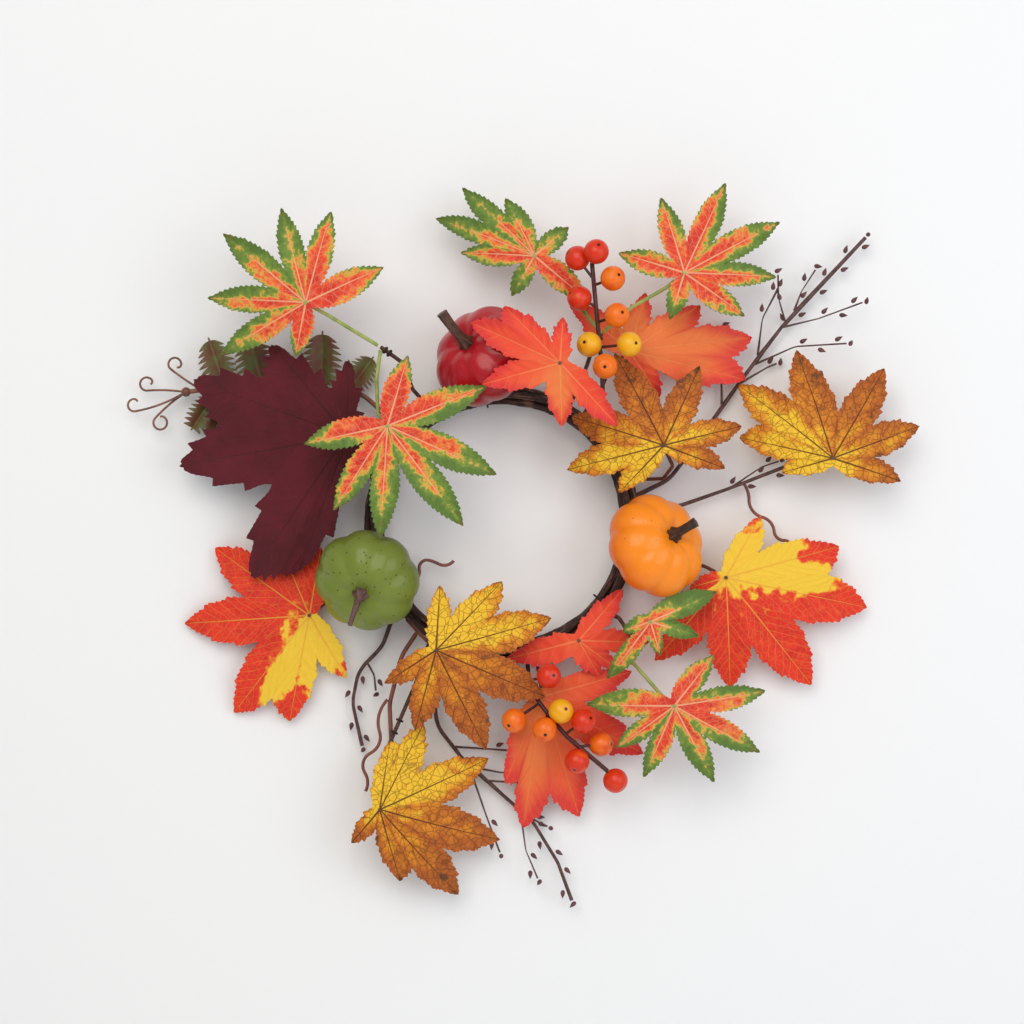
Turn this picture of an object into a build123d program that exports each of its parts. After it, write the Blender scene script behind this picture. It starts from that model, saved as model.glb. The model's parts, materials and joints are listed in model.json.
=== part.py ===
from build123d import *
import math
import os

# Harvest door wreath: a ring of four vine strands twisted round a wire hoop, with
# wired picks of die-cut fabric leaves, foam pumpkins, berries, twigs and tendrils.
# Millimetres. +X is the viewer's right, +Z is up and the front faces -Y.
# The origin is the hook seat: the inside top of the ring, where it hangs on a hook.
# Places are written (x, z, front): across and up from the ring's centre, and front is
# how far the place stands out of the ring's middle plane, towards the viewer. They are
# laid out round a ring of LAYOUT_RADIUS and a bundle of LAYOUT_BUNDLE_RADIUS, and move
# with the ring's own sizes.

# ---- ring ----
RING_RADIUS = 64.0        # centre of the ring to the centre of the bundle
STRAND_RADIUS = 2.0       # one vine strand
HOOP_WIRE_RADIUS = 0.8    # steel core hoop
BUNDLE_GAP = 0.2          # strand to hoop
STRAND_COUNT = 4
LAYOUT_RADIUS = 64.0
LAYOUT_BUNDLE_RADIUS = 5.0

BAND_WIRE_RADIUS = 0.5    # binding wire
BAND_GAP = 0.15           # binding wire to bundle
BAND_ANGLES = (27, 97, 191, 255, 322)

# ---- leaves ----
BLADE_THICKNESS = 0.6
BASE_REACH = 4.0          # notch at the foot of a blade to its hub
PRISM_DEPTH = 30.0        # half depth of the die that cuts a blade
PEG_PROUD = 0.8           # how far the stalk's peg stands out of the blade
STALK_RADIUS = 0.9        # moulded leaf stalk

# ---- pumpkins ----
PUMPKIN_LOBES = 8
PUMPKIN_LOBE_RADIUS = 18.6
PUMPKIN_LOBE_OFFSET = 7.6
PUMPKIN_NECK_RADIUS = 3.4
PUMPKIN_NECK_DEPTH = 5.0
PUMPKIN_STEM_RADIUS = 2.6
PUMPKIN_CORE = 1.7        # core cylinder's length, in lobe radii
NECK_RISE = 2.0           # how far the stem runs straight above the body's top
PICK_WIRE_RADIUS = 1.0

# ---- berries, twigs and tendrils ----
BERRY_RADIUS = 6.2
BERRY_STALK_RADIUS = 0.7
BERRY_STEM_RADIUS = 1.1
TRUNK_RADIUS = 1.3
BRANCH_RADIUS = 0.8
BUD_RADIUS = 1.7
TENDRIL_RADIUS = 0.8
CURL_RADIUS = 0.55        # a curl at the end of the fern stem
FERN_STEM_RADIUS = 1.2
TENDRIL_STEM_RADIUS = 1.1
LEAFLET_THICKNESS = 1.0
KNOT_WIRE_RADIUS = 0.5
TIE_GAP = 0.7             # a bending pick's foot to the end of the stub that holds it
POKE_DEPTH = 2.6          # a stem end poked between the strands stops this far from the hoop
BUD_GAP = 0.05            # bud to the shoot it is glued on
FORK_RADIUS = 2.4         # swelling of the fern stem where its curls part

BUNDLE_OFFSET = HOOP_WIRE_RADIUS + BUNDLE_GAP + STRAND_RADIUS
BUNDLE_RADIUS = BUNDLE_OFFSET + STRAND_RADIUS
RING_CENTRE_Z = -(RING_RADIUS - BUNDLE_RADIUS)


def grown(place):
    """A laid-out place, moved out with the ring's radius and the bundle's thickness."""
    x, z, front = place
    share = (math.hypot(x, z) + RING_RADIUS - LAYOUT_RADIUS) / math.hypot(x, z)
    thickening = BUNDLE_RADIUS - LAYOUT_BUNDLE_RADIUS
    clear = max(-1.0, min(1.0, front / LAYOUT_BUNDLE_RADIUS))
    return (x * share, z * share, front + thickening * clear)


def standing_at(place):
    """A grown place in the part's own frame."""
    x, z, front = place
    return Vector(x, -front, RING_CENTRE_Z + z)


def spot(*place):
    return standing_at(grown(place))


def ring_spot(angle, front=0.0, out=POKE_DEPTH):
    """A place near the ring's centreline, moved outwards and to the front."""
    reach = LAYOUT_RADIUS + out
    turn = math.radians(angle)
    return (reach * math.cos(turn), reach * math.sin(turn), front)


def tube(route, radius, bend=3.0):
    """A round wire or stem along straight runs joined by tangent arcs."""
    points = [spot(*place) for place in route]
    if len(points) == 2:
        path = Line(*points)
    else:
        path = FilletPolyline(*points, radius=corner_radii(points, bend))
    profile = Plane(origin=path @ 0, z_dir=path % 0) * Circle(radius)
    return sweep(profile, path=path)


def corner_radii(points, bend):
    """The wanted bend, or less where the two runs at a corner are short."""
    radii = []
    for before, here, after in zip(points, points[1:], points[2:]):
        arriving = here - before
        leaving = after - here
        turn = math.radians(arriving.get_angle(leaving))
        room = 0.45 * min(arriving.length, leaving.length) / math.tan(turn / 2)
        radii.append(min(bend, room))
    return radii


def ball(place, radius):
    return Pos(*spot(*place)) * Sphere(radius)


def offset(step):
    """A step (x, z, front) in the part's own frame."""
    across, up, front = step
    return Vector(across, -front, up)


def between(start, end, share):
    return tuple(a + (b - a) * share for a, b in zip(start, end))


# ---- ring: strands, hoop and binding wires ----

def vine_strand(index):
    """One strand: a true circle that winds once round the hoop on its way round."""
    tilt = math.degrees(math.asin(BUNDLE_OFFSET / RING_RADIUS))
    circle = Pos(BUNDLE_OFFSET, 0, 0) * Rot(90 + tilt, 0, 0) * Torus(RING_RADIUS, STRAND_RADIUS)
    turned = Rot(0, 360 / STRAND_COUNT * index, 0) * circle
    return Pos(0, 0, RING_CENTRE_Z) * turned


def core_hoop():
    return Pos(0, 0, RING_CENTRE_Z) * Rot(90, 0, 0) * Torus(RING_RADIUS, HOOP_WIRE_RADIUS)


def binding_wires():
    """Wire rings round the bundle, one at each tie."""
    reach = BUNDLE_RADIUS + BAND_GAP + BAND_WIRE_RADIUS
    bands = []
    for angle in BAND_ANGLES:
        band = Pos(*spot(*ring_spot(angle, 0, 0))) * Rot(0, -angle, 0) * Torus(reach, BAND_WIRE_RADIUS)
        bands.append(band)
    return Compound(bands)


# ---- leaves ----
# Each blade: kind, hub place, (direction, reach) of each lobe tip seen from the front,
# anticlockwise from the foot, then lean (top forward), roll (right side forward) in
# degrees, and the radius that the blade is domed to.

SINUS_SHARE = {"variegated": 0.33, "golden": 0.54, "scarlet": 0.58, "burgundy": 0.62, "coral": 0.5}
LOBE_FULLNESS = {"variegated": 0.14, "golden": 0.10, "scarlet": 0.11, "burgundy": 0.09, "coral": 0.10}
TYPICAL_SPREAD = 38.0     # usual angle between neighbouring lobes
NOTCH_OPENNESS = 0.35     # share of a notch's half angle that its arcs may turn into

BLADES = {
    "variegated_leaf_upper_left": ("variegated", (-95, 107, 40), [
        (25, 41), (75, 46), (105, 48), (140, 54), (176, 49), (209, 49), (258, 26)], 6, -4, 120),
    "variegated_leaf_centre_left": ("variegated", (-55, 47, 47), [
        (192, 41), (237, 48), (266, 54), (307, 60), (336, 57), (382, 51), (434, 35)], 0, 0, 400),
    "variegated_leaf_top": ("variegated", (16, 131, 26), [
        (-39, 32), (41, 22), (116, 32), (135, 50), (157, 53), (176, 36), (240, 22)], 0, 0, 80),
    "variegated_leaf_upper_right": ("variegated", (89, 122, 34), [
        (253, 23), (326, 36), (359, 46), (389, 55), (425, 50), (466, 39), (522, 33)], 0, 0, 90),
    "variegated_leaf_lower_right": ("variegated", (84, -89, 34), [
        (180, 42), (217, 35), (248, 38), (298, 43), (331, 49), (368, 46), (411, 31)], 0, 0, 90),
    "variegated_leaf_right": ("variegated", (72.5, -48, 32), [
        (200, 14), (234, 35), (287, 17), (343, 25), (383, 36)], 0, 0, 60),
    "golden_maple_upper_right": ("golden", (79, 38, 32), [
        (340, 32), (374, 40), (425, 43), (477, 51), (522, 47), (554, 48), (587, 31)], 0, 0, 110),
    "golden_maple_far_right": ("golden", (163, 32, 20), [
        (342, 36), (380, 47), (419, 52), (467, 56), (501, 58), (527, 46), (556, 25)], 0, 0, 150),
    "golden_maple_lower_left": ("golden", (-32, -62, 30), [
        (213, 30), (255, 41), (296, 55), (336, 58), (375, 58), (406, 46), (447, 31)], 0, 0, 150),
    "golden_maple_bottom": ("golden", (-60, -141, 20), [
        (230, 22), (285, 37), (311, 58), (344, 61), (384, 58), (423, 46), (442, 33)], 0, 0, 150),
    "scarlet_maple_left": ("scarlet", (-96, -46, 4), [
        (81, 34), (113, 48), (145, 58), (184, 63), (232, 62), (259, 54), (300, 36)], 0, 0, 300),
    "scarlet_maple_right": ("scarlet", (111, -27, 12), [
        (196, 18), (230, 54), (273, 55), (309, 69), (348, 73), (375, 59), (420, 35)], 0, 0, 260),
    "burgundy_maple": ("burgundy", (-76, 43, 22), [
        (89, 37), (130, 58), (160, 81), (190, 85), (235, 85), (250, 70), (302, 24)], 4, 0, 400),
    "coral_maple_top": ("coral", (28, 77, 53), [
        (86, 22), (134, 38), (155, 47), (195, 38), (272, 30), (313, 41)], 0, 0, 200),
    "coral_maple_upper_right": ("coral", (63, 85, 16), [
        (304, 27), (347, 60), (367, 62), (393, 42), (434, 30), (500, 39)], 0, 0, 170),
    "coral_maple_lower": ("coral", (38, -58, 16), [
        (195, 37), (300, 20), (323, 22), (358, 35), (409, 33)], 0, 0, 110),
    "coral_maple_bottom": ("coral", (20, -86, 11), [
        (247, 47), (262, 67), (287, 63), (330, 58), (375, 46)], 0, 0, 260),
}


def polar(direction, reach):
    turn = math.radians(direction)
    return Vector(reach * math.cos(turn), reach * math.sin(turn))


def swell_limit(notch, tips, number):
    """The fullest arc that still leaves the notch open, as a share of its chord."""
    if number in (0, len(tips)):
        return 1.0
    opening = (tips[number - 1] - notch).get_angle(tips[number] - notch)
    return math.tan(math.radians(opening / 2) * NOTCH_OPENNESS) / 2


def blade_outline(kind, lobes):
    """Lobes as pairs of arcs from notch to tip to notch, round a hub at the origin."""
    foot = polar((lobes[-1][0] + lobes[0][0] + 360) / 2, BASE_REACH)
    notches = [foot]
    for (first, reach), (second, next_reach) in zip(lobes, lobes[1:]):
        share = SINUS_SHARE[kind] * min(1.7, max(0.7, TYPICAL_SPREAD / (second - first)))
        shorter = min(reach, next_reach)
        notches.append(polar((first + second) / 2, share * (3 * shorter + max(reach, next_reach)) / 4))
    notches.append(foot)
    tips = [polar(direction, reach) for direction, reach in lobes]
    edges = []
    for number, tip in enumerate(tips):
        axis = tip.normalized()
        for notch_number in (number, number + 1):
            notch = notches[notch_number]
            middle = (notch + tip) * 0.5
            side = middle - axis * middle.dot(axis)
            share = min(LOBE_FULLNESS[kind], swell_limit(notch, tips, notch_number))
            swell = side.normalized() * ((tip - notch).length * share)
            ends = (notch, tip) if notch_number == number else (tip, notch)
            edges.append(ThreePointArc(ends[0], middle + swell, ends[1]))
    return make_face(Wire(edges))


def blade(kind, hub, lobes, lean, roll, dome):
    """A die-cut blade: a prism of the outline, cut out of a thin dome."""
    die = extrude(blade_outline(kind, lobes), PRISM_DEPTH, both=True)
    standing = Rot(90, 0, 0) * die
    shell = Sphere(dome) - Sphere(dome - BLADE_THICKNESS)
    domed = Pos(0, dome, 0) * Rot(0, 90, 0) * shell
    tilted = Rot(lean, 0, 0) * Rot(0, 0, roll) * domed
    return Pos(*spot(*hub)) * (standing & tilted)


def stalk(hub, *route):
    """A moulded stalk: its peg passes through the blade's hub, then it bends away."""
    x, z, front = hub
    peg = [(x, z, front + PEG_PROUD), (x, z, front - 4)]
    return tube(peg + list(route), STALK_RADIUS, bend=2.5)


# ---- stubs: taped wires from the ring out to the ties that picks bend at ----
LEFT_KNOT = (-59, 86, 30)
TOP_KNOT = (49, 93, 24)
RIGHT_ELBOW = (64, -56, 19)
RIGHT_KNOT = (63, -67, 20)
BERRY_TIE = (50, 58, 19)
BOTTOM_TIE = (-56, -110, 9)
FAR_RIGHT_TIE = (141, 28, 3)

STUBS = [
    [ring_spot(122, 1), (-44, 66, 14), (-49, 79, 24), LEFT_KNOT],
    [ring_spot(60, 1), (40, 72, 14), (44, 84, 21), TOP_KNOT],
    [ring_spot(-41, 1), (58, -47, 11), RIGHT_ELBOW, RIGHT_KNOT],
    [ring_spot(47, 1), (48, 54, 8), BERRY_TIE],
    [ring_spot(238, 1), (-43, -80, 8), BOTTOM_TIE],
]


def pick_stubs():
    return Compound([tube(route, PICK_WIRE_RADIUS) for route in STUBS])


def knot_wires():
    """Two turns of bare wire round the end of each stub."""
    turns = []
    reach = PICK_WIRE_RADIUS + KNOT_WIRE_RADIUS
    for route in STUBS:
        before, knot = route[-2:]
        for share in (0.6, 0.8):
            centre = spot(*between(before, knot, share))
            along = spot(*knot) - spot(*before)
            turns.append(Plane(origin=centre, z_dir=along) * Torus(reach, KNOT_WIRE_RADIUS))
    return Compound(turns)


def tied(route, knot):
    """A route that stops just short of its knot, so that it can bend there."""
    reach = PICK_WIRE_RADIUS + TIE_GAP
    return route + [between(knot, route[-1], reach / math.dist(knot, route[-1]))]


# ---- stalks: from each hub to what holds it ----
STALKS = {
    "leaf_stalk_upper_left": [("variegated_leaf_upper_left", tied([(-84, 101, 33)], LEFT_KNOT))],
    "leaf_stalk_centre_left": [("variegated_leaf_centre_left", tied(
        [(-60, 53, 38), (-61, 70, 34)], LEFT_KNOT))],
    "leaf_stalk_top": [("variegated_leaf_top", [(24, 122, 18), (38, 107, 20), TOP_KNOT])],
    "leaf_stalk_upper_right": [("variegated_leaf_upper_right", tied(
        [(80, 115, 28), (64, 106, 26)], TOP_KNOT))],
    "leaf_stalk_lower_right": [("variegated_leaf_lower_right", tied([(78, -84, 26)], RIGHT_KNOT))],
    "leaf_stalk_right": [("variegated_leaf_right", [(70, -51, 25), RIGHT_ELBOW])],
    "leaf_stalk_far_right": [("golden_maple_far_right", tied([(157, 29, 12)], FAR_RIGHT_TIE))],
    "leaf_stalk_bottom": [("golden_maple_bottom", tied([(-62, -134, 12)], BOTTOM_TIE))],
    "maple_leaf_stalks": [
        ("golden_maple_upper_right", [(84, 28, 24), (80, 22, 10), ring_spot(19, 1)]),
        ("golden_maple_lower_left", [(-40, -55, 20), (-47, -48, 10), ring_spot(226, 1)]),
        ("scarlet_maple_left", [(-86, -38, -2), (-74, -33, 0), ring_spot(202, 0)]),
        ("scarlet_maple_right", [(102, -22, 4), (88, -17, -1.5), ring_spot(-12, -1)]),
        ("burgundy_maple", [(-66, 39, 14), (-60, 36, 8), ring_spot(149, 1)])],
    "coral_leaf_stalks": [
        ("coral_maple_top", [(30, 72, 36), (30, 64, 14), ring_spot(65, 1)]),
        ("coral_maple_upper_right", [(54, 78, 8), (50, 68, 5), ring_spot(53, 1)]),
        ("coral_maple_lower", [(37, -60, 8), ring_spot(-57, 1)]),
        ("coral_maple_bottom", [(19, -78, 4), (18, -73, 2), ring_spot(-75, 0)])],
}


def leaf_picks():
    """Every blade with its hub hole, and the stalks that fill the holes."""
    nodes = {}
    for stalk_name, entries in STALKS.items():
        stalks = []
        for blade_name, route in entries:
            kind, hub, lobes, lean, roll, dome = BLADES[blade_name]
            stem = stalk(hub, *route)
            nodes[blade_name] = blade(kind, hub, lobes, lean, roll, dome) - stem
            stalks.append(stem)
        nodes[stalk_name] = stalks[0] if len(stalks) == 1 else Compound(stalks)
    return nodes


# ---- pumpkins ----
# centre place, direction the stem points in (x, z, front), stem route from the centre
PUMPKINS = {
    "red": ((-9, 82, 22), (-11, 8, 14), [(-15, 13, 17), (-20, 20, 19)], 118),
    "orange": ((75.5, -11, 25), (11, 7, 14), [(15, 9, 17), (20, 13, 18)], -6),
    "green": ((-66, -28, 26), (-3, -8, 16), [(-4, -13, 20), (-7, -21, 24)], 204),
}


def stem_plane(centre, direction):
    return Plane(origin=spot(*centre), z_dir=offset(direction))


def pumpkin_parts(centre, direction, stem_route, ring_angle):
    """A ribbed foam body, its moulded stem in the neck, and the wire it is stuck on."""
    seat = stem_plane(centre, direction)
    lobes = [
        Rot(0, 0, 360 / PUMPKIN_LOBES * number) * Pos(PUMPKIN_LOBE_OFFSET, 0, 0)
        * Sphere(PUMPKIN_LOBE_RADIUS) for number in range(PUMPKIN_LOBES)]
    body = Cylinder(PUMPKIN_NECK_RADIUS, PUMPKIN_LOBE_RADIUS * PUMPKIN_CORE)
    for lobe in lobes:
        body += lobe
    body = seat * body
    rise = math.sqrt(PUMPKIN_LOBE_RADIUS ** 2 - PUMPKIN_LOBE_OFFSET ** 2)
    foot = seat.origin + seat.z_dir * (rise - PUMPKIN_NECK_DEPTH)
    neck = seat.origin + seat.z_dir * (rise + NECK_RISE)
    points = [foot, neck] + [seat.origin + offset(step) for step in stem_route]
    path = FilletPolyline(*points, radius=corner_radii(points, 8))
    stem = sweep(Plane(origin=foot, z_dir=path % 0) * Circle(PUMPKIN_STEM_RADIUS), path=path)
    pick = tube([centre, ring_spot(ring_angle, 1)], PICK_WIRE_RADIUS)
    return body - stem - pick, stem, pick


# ---- berry picks ----
UPPER_BERRY_STEM = [(49, 76, 28), (47, 95, 31), (44, 127, 32)]
UPPER_BERRIES = [
    ((46, 132, 37), (44, 124, 32)), ((37, 129.5, 30), (44, 120, 32)),
    ((54, 119, 37), (44.8, 116, 32)), ((38, 110, 30), (45.5, 106, 31.5)),
    ((56, 101, 38), (46.6, 98, 31)), ((62, 87, 37), (48, 86, 29.5)),
    ((42.5, 87, 36), (48.3, 83, 29.2)), ((50, 76, 42), (48.8, 78, 28.6))]
LOWER_BERRY_STEM = [ring_spot(-79, 2), (13, -75, 9), (18, -88, 14.5), (25, -97, 19), (32, -105, 21),
                    (52, -122, 20)]
LOWER_BERRIES = [
    ((23, -75, 24), (14, -78, 10.5)), ((6, -97, 22), (18.5, -89, 15)),
    ((21, -101, 28), (22.5, -93.6, 17.5)), ((29, -92, 27), (24.5, -96.3, 18.7)),
    ((40, -97, 26), (31, -104, 21)), ((49, -109, 17), (38, -110, 20.6)),
    ((37, -117, 22), (40, -112, 20.5)), ((56, -127, 18), (50, -120.5, 20))]


def berry_pick(stem_route, berries):
    """A dark moulded stem with short stalks, and a foam berry pressed on each."""
    stem = tube(stem_route, BERRY_STEM_RADIUS, bend=12)
    for place, joint in berries:
        stem += tube([joint, between(joint, place, 0.7)], BERRY_STALK_RADIUS)
    balls = [ball(place, BERRY_RADIUS) - stem for place, joint in berries]
    return stem, Compound(balls)


# ---- twigs with buds ----
UPPER_TWIG = [ring_spot(11, -1), (84, 22, -3), (101, 45, -3), (121, 73, -3), (140, 98, -2), (182, 143, 0)]
UPPER_BRANCHES = [
    [(128, 84, -3), (130, 102, 2), (138, 118, 4)],
    [(142, 100, -2), (138, 112, 3), (137.5, 124, 5)],
    [(146, 106, -2), (150, 116, -2), (157, 127, -1)],
    [(141, 98, -2), (158, 102, 3), (180, 110, 5)],
    [(126, 79, -3), (146, 88, 3), (172, 89.5, 5)],
    [(118, 69, -3), (133, 78, -4), (138, 80, -4)],
    [(110, 59, -3), (110, 80, -4), (112, 98, -4)]]
LOWER_TWIG = [ring_spot(243, -1), (-34, -100, -3), (-20, -118, -3), (0, -136, -3), (15, -149, -3),
              (28, -170, -1), (35, -189, 0)]
LOWER_BRANCHES = [
    [(-25, -112, -3), (-8, -113, -1), (5, -114, -2)],
    [(-16, -122, -3), (0, -125, -1), (14, -124, -3)],
    [(-8, -129, -3), (8, -130, -2), (24, -134, -4)],
    [(-17, -121, -3), (-8, -146, -1), (-1, -165, 0)],
    [(9, -144, -3), (12, -164, -1), (18, -178, 0)],
    [(6, -141, -3), (13, -147, -2), (23, -152, -1)]]
RIGHT_TWIG = [ring_spot(3, 1), (90, 9, 0), (113, 17, 0), FAR_RIGHT_TIE]
RIGHT_BRANCHES = [[(113, 17, 0), (130, 28, -3), (139, 31, -4)]]
LEFT_TWIG = [ring_spot(218, -2), (-60, -62, -3), (-72, -74, -3), (-75, -90, -3), (-70, -112, -3)]
LEFT_BRANCHES = [[(-68, -69, -3), (-64, -76, -1), (-63, -84, 1)]]
BUD_SPACING = 7.0


def twig_spray(trunk_route, branch_routes, buds_from, tip_bud=True):
    """A twig with side shoots, and the buds that are glued along the shoots."""
    twigs = tube(trunk_route, TRUNK_RADIUS, bend=20)
    for route in branch_routes:
        twigs += tube(route, BRANCH_RADIUS, bend=10)
    places = []
    for route in branch_routes:
        places += bud_places(route[1:], BRANCH_RADIUS, True)
    places += bud_places(trunk_route[buds_from:], TRUNK_RADIUS, tip_bud)
    return twigs, Compound([Pos(*standing_at(place)) * Sphere(BUD_RADIUS) for place in places])


def bud_places(route, radius, tip_bud):
    """Buds stand on alternate sides of a shoot, and one may sit on its tip."""
    places = []
    route = [grown(place) for place in route]
    for start, end in zip(route, route[1:]):
        length = math.dist(start, end)
        along = [(b - a) / length for a, b in zip(start, end)]
        flat = math.hypot(along[0], along[1])
        away = (radius + BUD_RADIUS + BUD_GAP) / flat
        count = max(1, int(length // BUD_SPACING))
        for number in range(count):
            x, z, front = between(start, end, (number + 0.5) / count)
            places.append((x - along[1] * away, z + along[0] * away, front))
            away = -away
    if tip_bud:
        tip_reach = BUD_RADIUS + BUD_GAP
        places.append(tuple(place + step * tip_reach for place, step in zip(route[-1], along)))
    return places


# ---- tendrils and fern ----

def curl(place, heading, bends, thickness=TENDRIL_RADIUS):
    """A tendril end: arcs that tighten, drawn flat in the ring's plane."""
    path = []
    start = (0, 0)
    direction = (math.cos(math.radians(heading)), math.sin(math.radians(heading)))
    for radius, turn in bends:
        arc = JernArc(start, direction, radius, turn)
        path.append(arc)
        start = arc @ 1
        direction = arc % 1
    line = Wire(path)
    profile = Plane(origin=line @ 0, z_dir=line % 0) * Circle(thickness)
    flat = sweep(profile, path=line)
    return Pos(*spot(*place)) * Rot(90, 0, 0) * flat


def lower_tendril():
    """Smooth brown stem below the green pumpkin, with two curling arms."""
    stem = tube([ring_spot(232, -1), (-50, -66, 3), (-56, -90, 5), (-55, -112, 4), (-56, -119, 4)],
                TENDRIL_STEM_RADIUS, bend=20)
    arm = curl((-57, -88, 4.5), 225, [(16, 62), (9, -80), (7, 95), (9, -60)])
    return stem + arm


def upper_curl():
    """Tendril that curls out from behind the green pumpkin."""
    return curl((-59.5, -31, 2.1), 0, [(60, 14), (5, 88), (4, -115), (20, -15), (6, 80)])


def right_tendril():
    """Curly tendril that hangs from the right twig."""
    return curl((121, 19.6, 0), -55, [(14, -35), (9, 75), (8, -70), (5, 85), (4, -110)])


FERN_STEM = [ring_spot(137, -1), (-72, 66.5, 0), (-150, 66.5, 0), (-158, 65.5, 0)]
FERN_CURLS = [
    ((-150, 66.5, 1.1), 151, [(110, -9.7), (3.2, -235), (1.5, -110)]),
    ((-158, 65.5, -1.1), 171.5, [(90, 12.5), (3.3, -230), (1.5, -110)]),
    ((-158, 65.5, 1.1), 212, [(70.8, -22), (3.1, -190), (1.6, -80)]),
    ((-158, 65.5, -1.1), 212, [(73, 16), (3.4, 285), (1.6, 60)])]
FERN_LEAFLETS = [
    ((-138, 67), (-147, 92), 15), ((-119, 67), (-127, 93), 18), ((-90, 67), (-90, 96), 17),
    ((-76, 67), (-64, 83), 13), ((-137, 66), (-145, 40), 15), ((-143, 66), (-155, 47), 11)]


def fern_stem():
    """A stem that swells towards its end, where four flat curls part."""
    stem = tube(FERN_STEM, FERN_STEM_RADIUS, bend=20)
    stem += ball(FERN_STEM[-1], FORK_RADIUS)
    for start, heading, bends in FERN_CURLS:
        stem += curl(start, heading, bends, CURL_RADIUS)
    return stem


def fern_leaflets(stem):
    """Oval leaflets that stand on the fern stem, cut to seat on it."""
    ovals = []
    for (x0, z0), (x1, z1), width in FERN_LEAFLETS:
        length = math.hypot(x1 - x0, z1 - z0)
        heading = math.degrees(math.atan2(z1 - z0, x1 - x0))
        plate = extrude(Ellipse(length / 2, width / 2), LEAFLET_THICKNESS / 2, both=True)
        standing = Rot(0, -heading, 0) * Rot(90, 0, 0) * plate
        middle = spot((x0 + x1) / 2, (z0 + z1) / 2, 0)
        ovals.append(Pos(*middle) * standing - stem)
    return Compound(ovals)


# ---- assembly ----

def wreath():
    nodes = {}
    for index in range(STRAND_COUNT):
        nodes[f"vine_strand_{index + 1}"] = vine_strand(index)
    nodes["core_hoop"] = core_hoop()
    nodes["binding_wires"] = binding_wires()
    nodes["pick_stubs"] = pick_stubs()
    nodes["knot_wires"] = knot_wires()
    nodes.update(leaf_picks())
    for colour, (centre, direction, stem_route, ring_angle) in PUMPKINS.items():
        body, stem, pick = pumpkin_parts(centre, direction, stem_route, ring_angle)
        nodes[f"{colour}_pumpkin"] = body
        nodes[f"{colour}_pumpkin_stem"] = stem
        nodes[f"{colour}_pumpkin_pick"] = pick
    upper_stem_route = tied(UPPER_BERRY_STEM[::-1], BERRY_TIE)[::-1]
    nodes["upper_berry_stem"], nodes["upper_berries"] = berry_pick(upper_stem_route, UPPER_BERRIES)
    nodes["lower_berry_stem"], nodes["lower_berries"] = berry_pick(LOWER_BERRY_STEM, LOWER_BERRIES)
    nodes["upper_twigs"], nodes["upper_buds"] = twig_spray(UPPER_TWIG, UPPER_BRANCHES, 4)
    nodes["lower_twigs"], nodes["lower_buds"] = twig_spray(LOWER_TWIG, LOWER_BRANCHES, 4)
    right_twig, right_buds = twig_spray(RIGHT_TWIG, RIGHT_BRANCHES, 2, tip_bud=False)
    left_twig, left_buds = twig_spray(LEFT_TWIG, LEFT_BRANCHES, 2)
    nodes["side_twigs"] = Compound([right_twig, left_twig])
    nodes["side_buds"] = Compound([right_buds, left_buds])
    nodes["left_tendrils"] = Compound([lower_tendril(), upper_curl()])
    nodes["right_tendril"] = right_tendril()
    nodes["fern_stem"] = fern_stem()
    nodes["fern_leaflets"] = fern_leaflets(nodes["fern_stem"])
    return nodes


os.makedirs("parts", exist_ok=True)
for name, solid in wreath().items():
    export_step(solid, f"parts/{name}.step")
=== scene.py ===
from collections import namedtuple
import json
import math

import bmesh
import bpy
from bpy.props import FloatProperty, FloatVectorProperty, PointerProperty
from mathutils import Matrix, Vector, noise
from mathutils.bvhtree import BVHTree
import numpy as np

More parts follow.
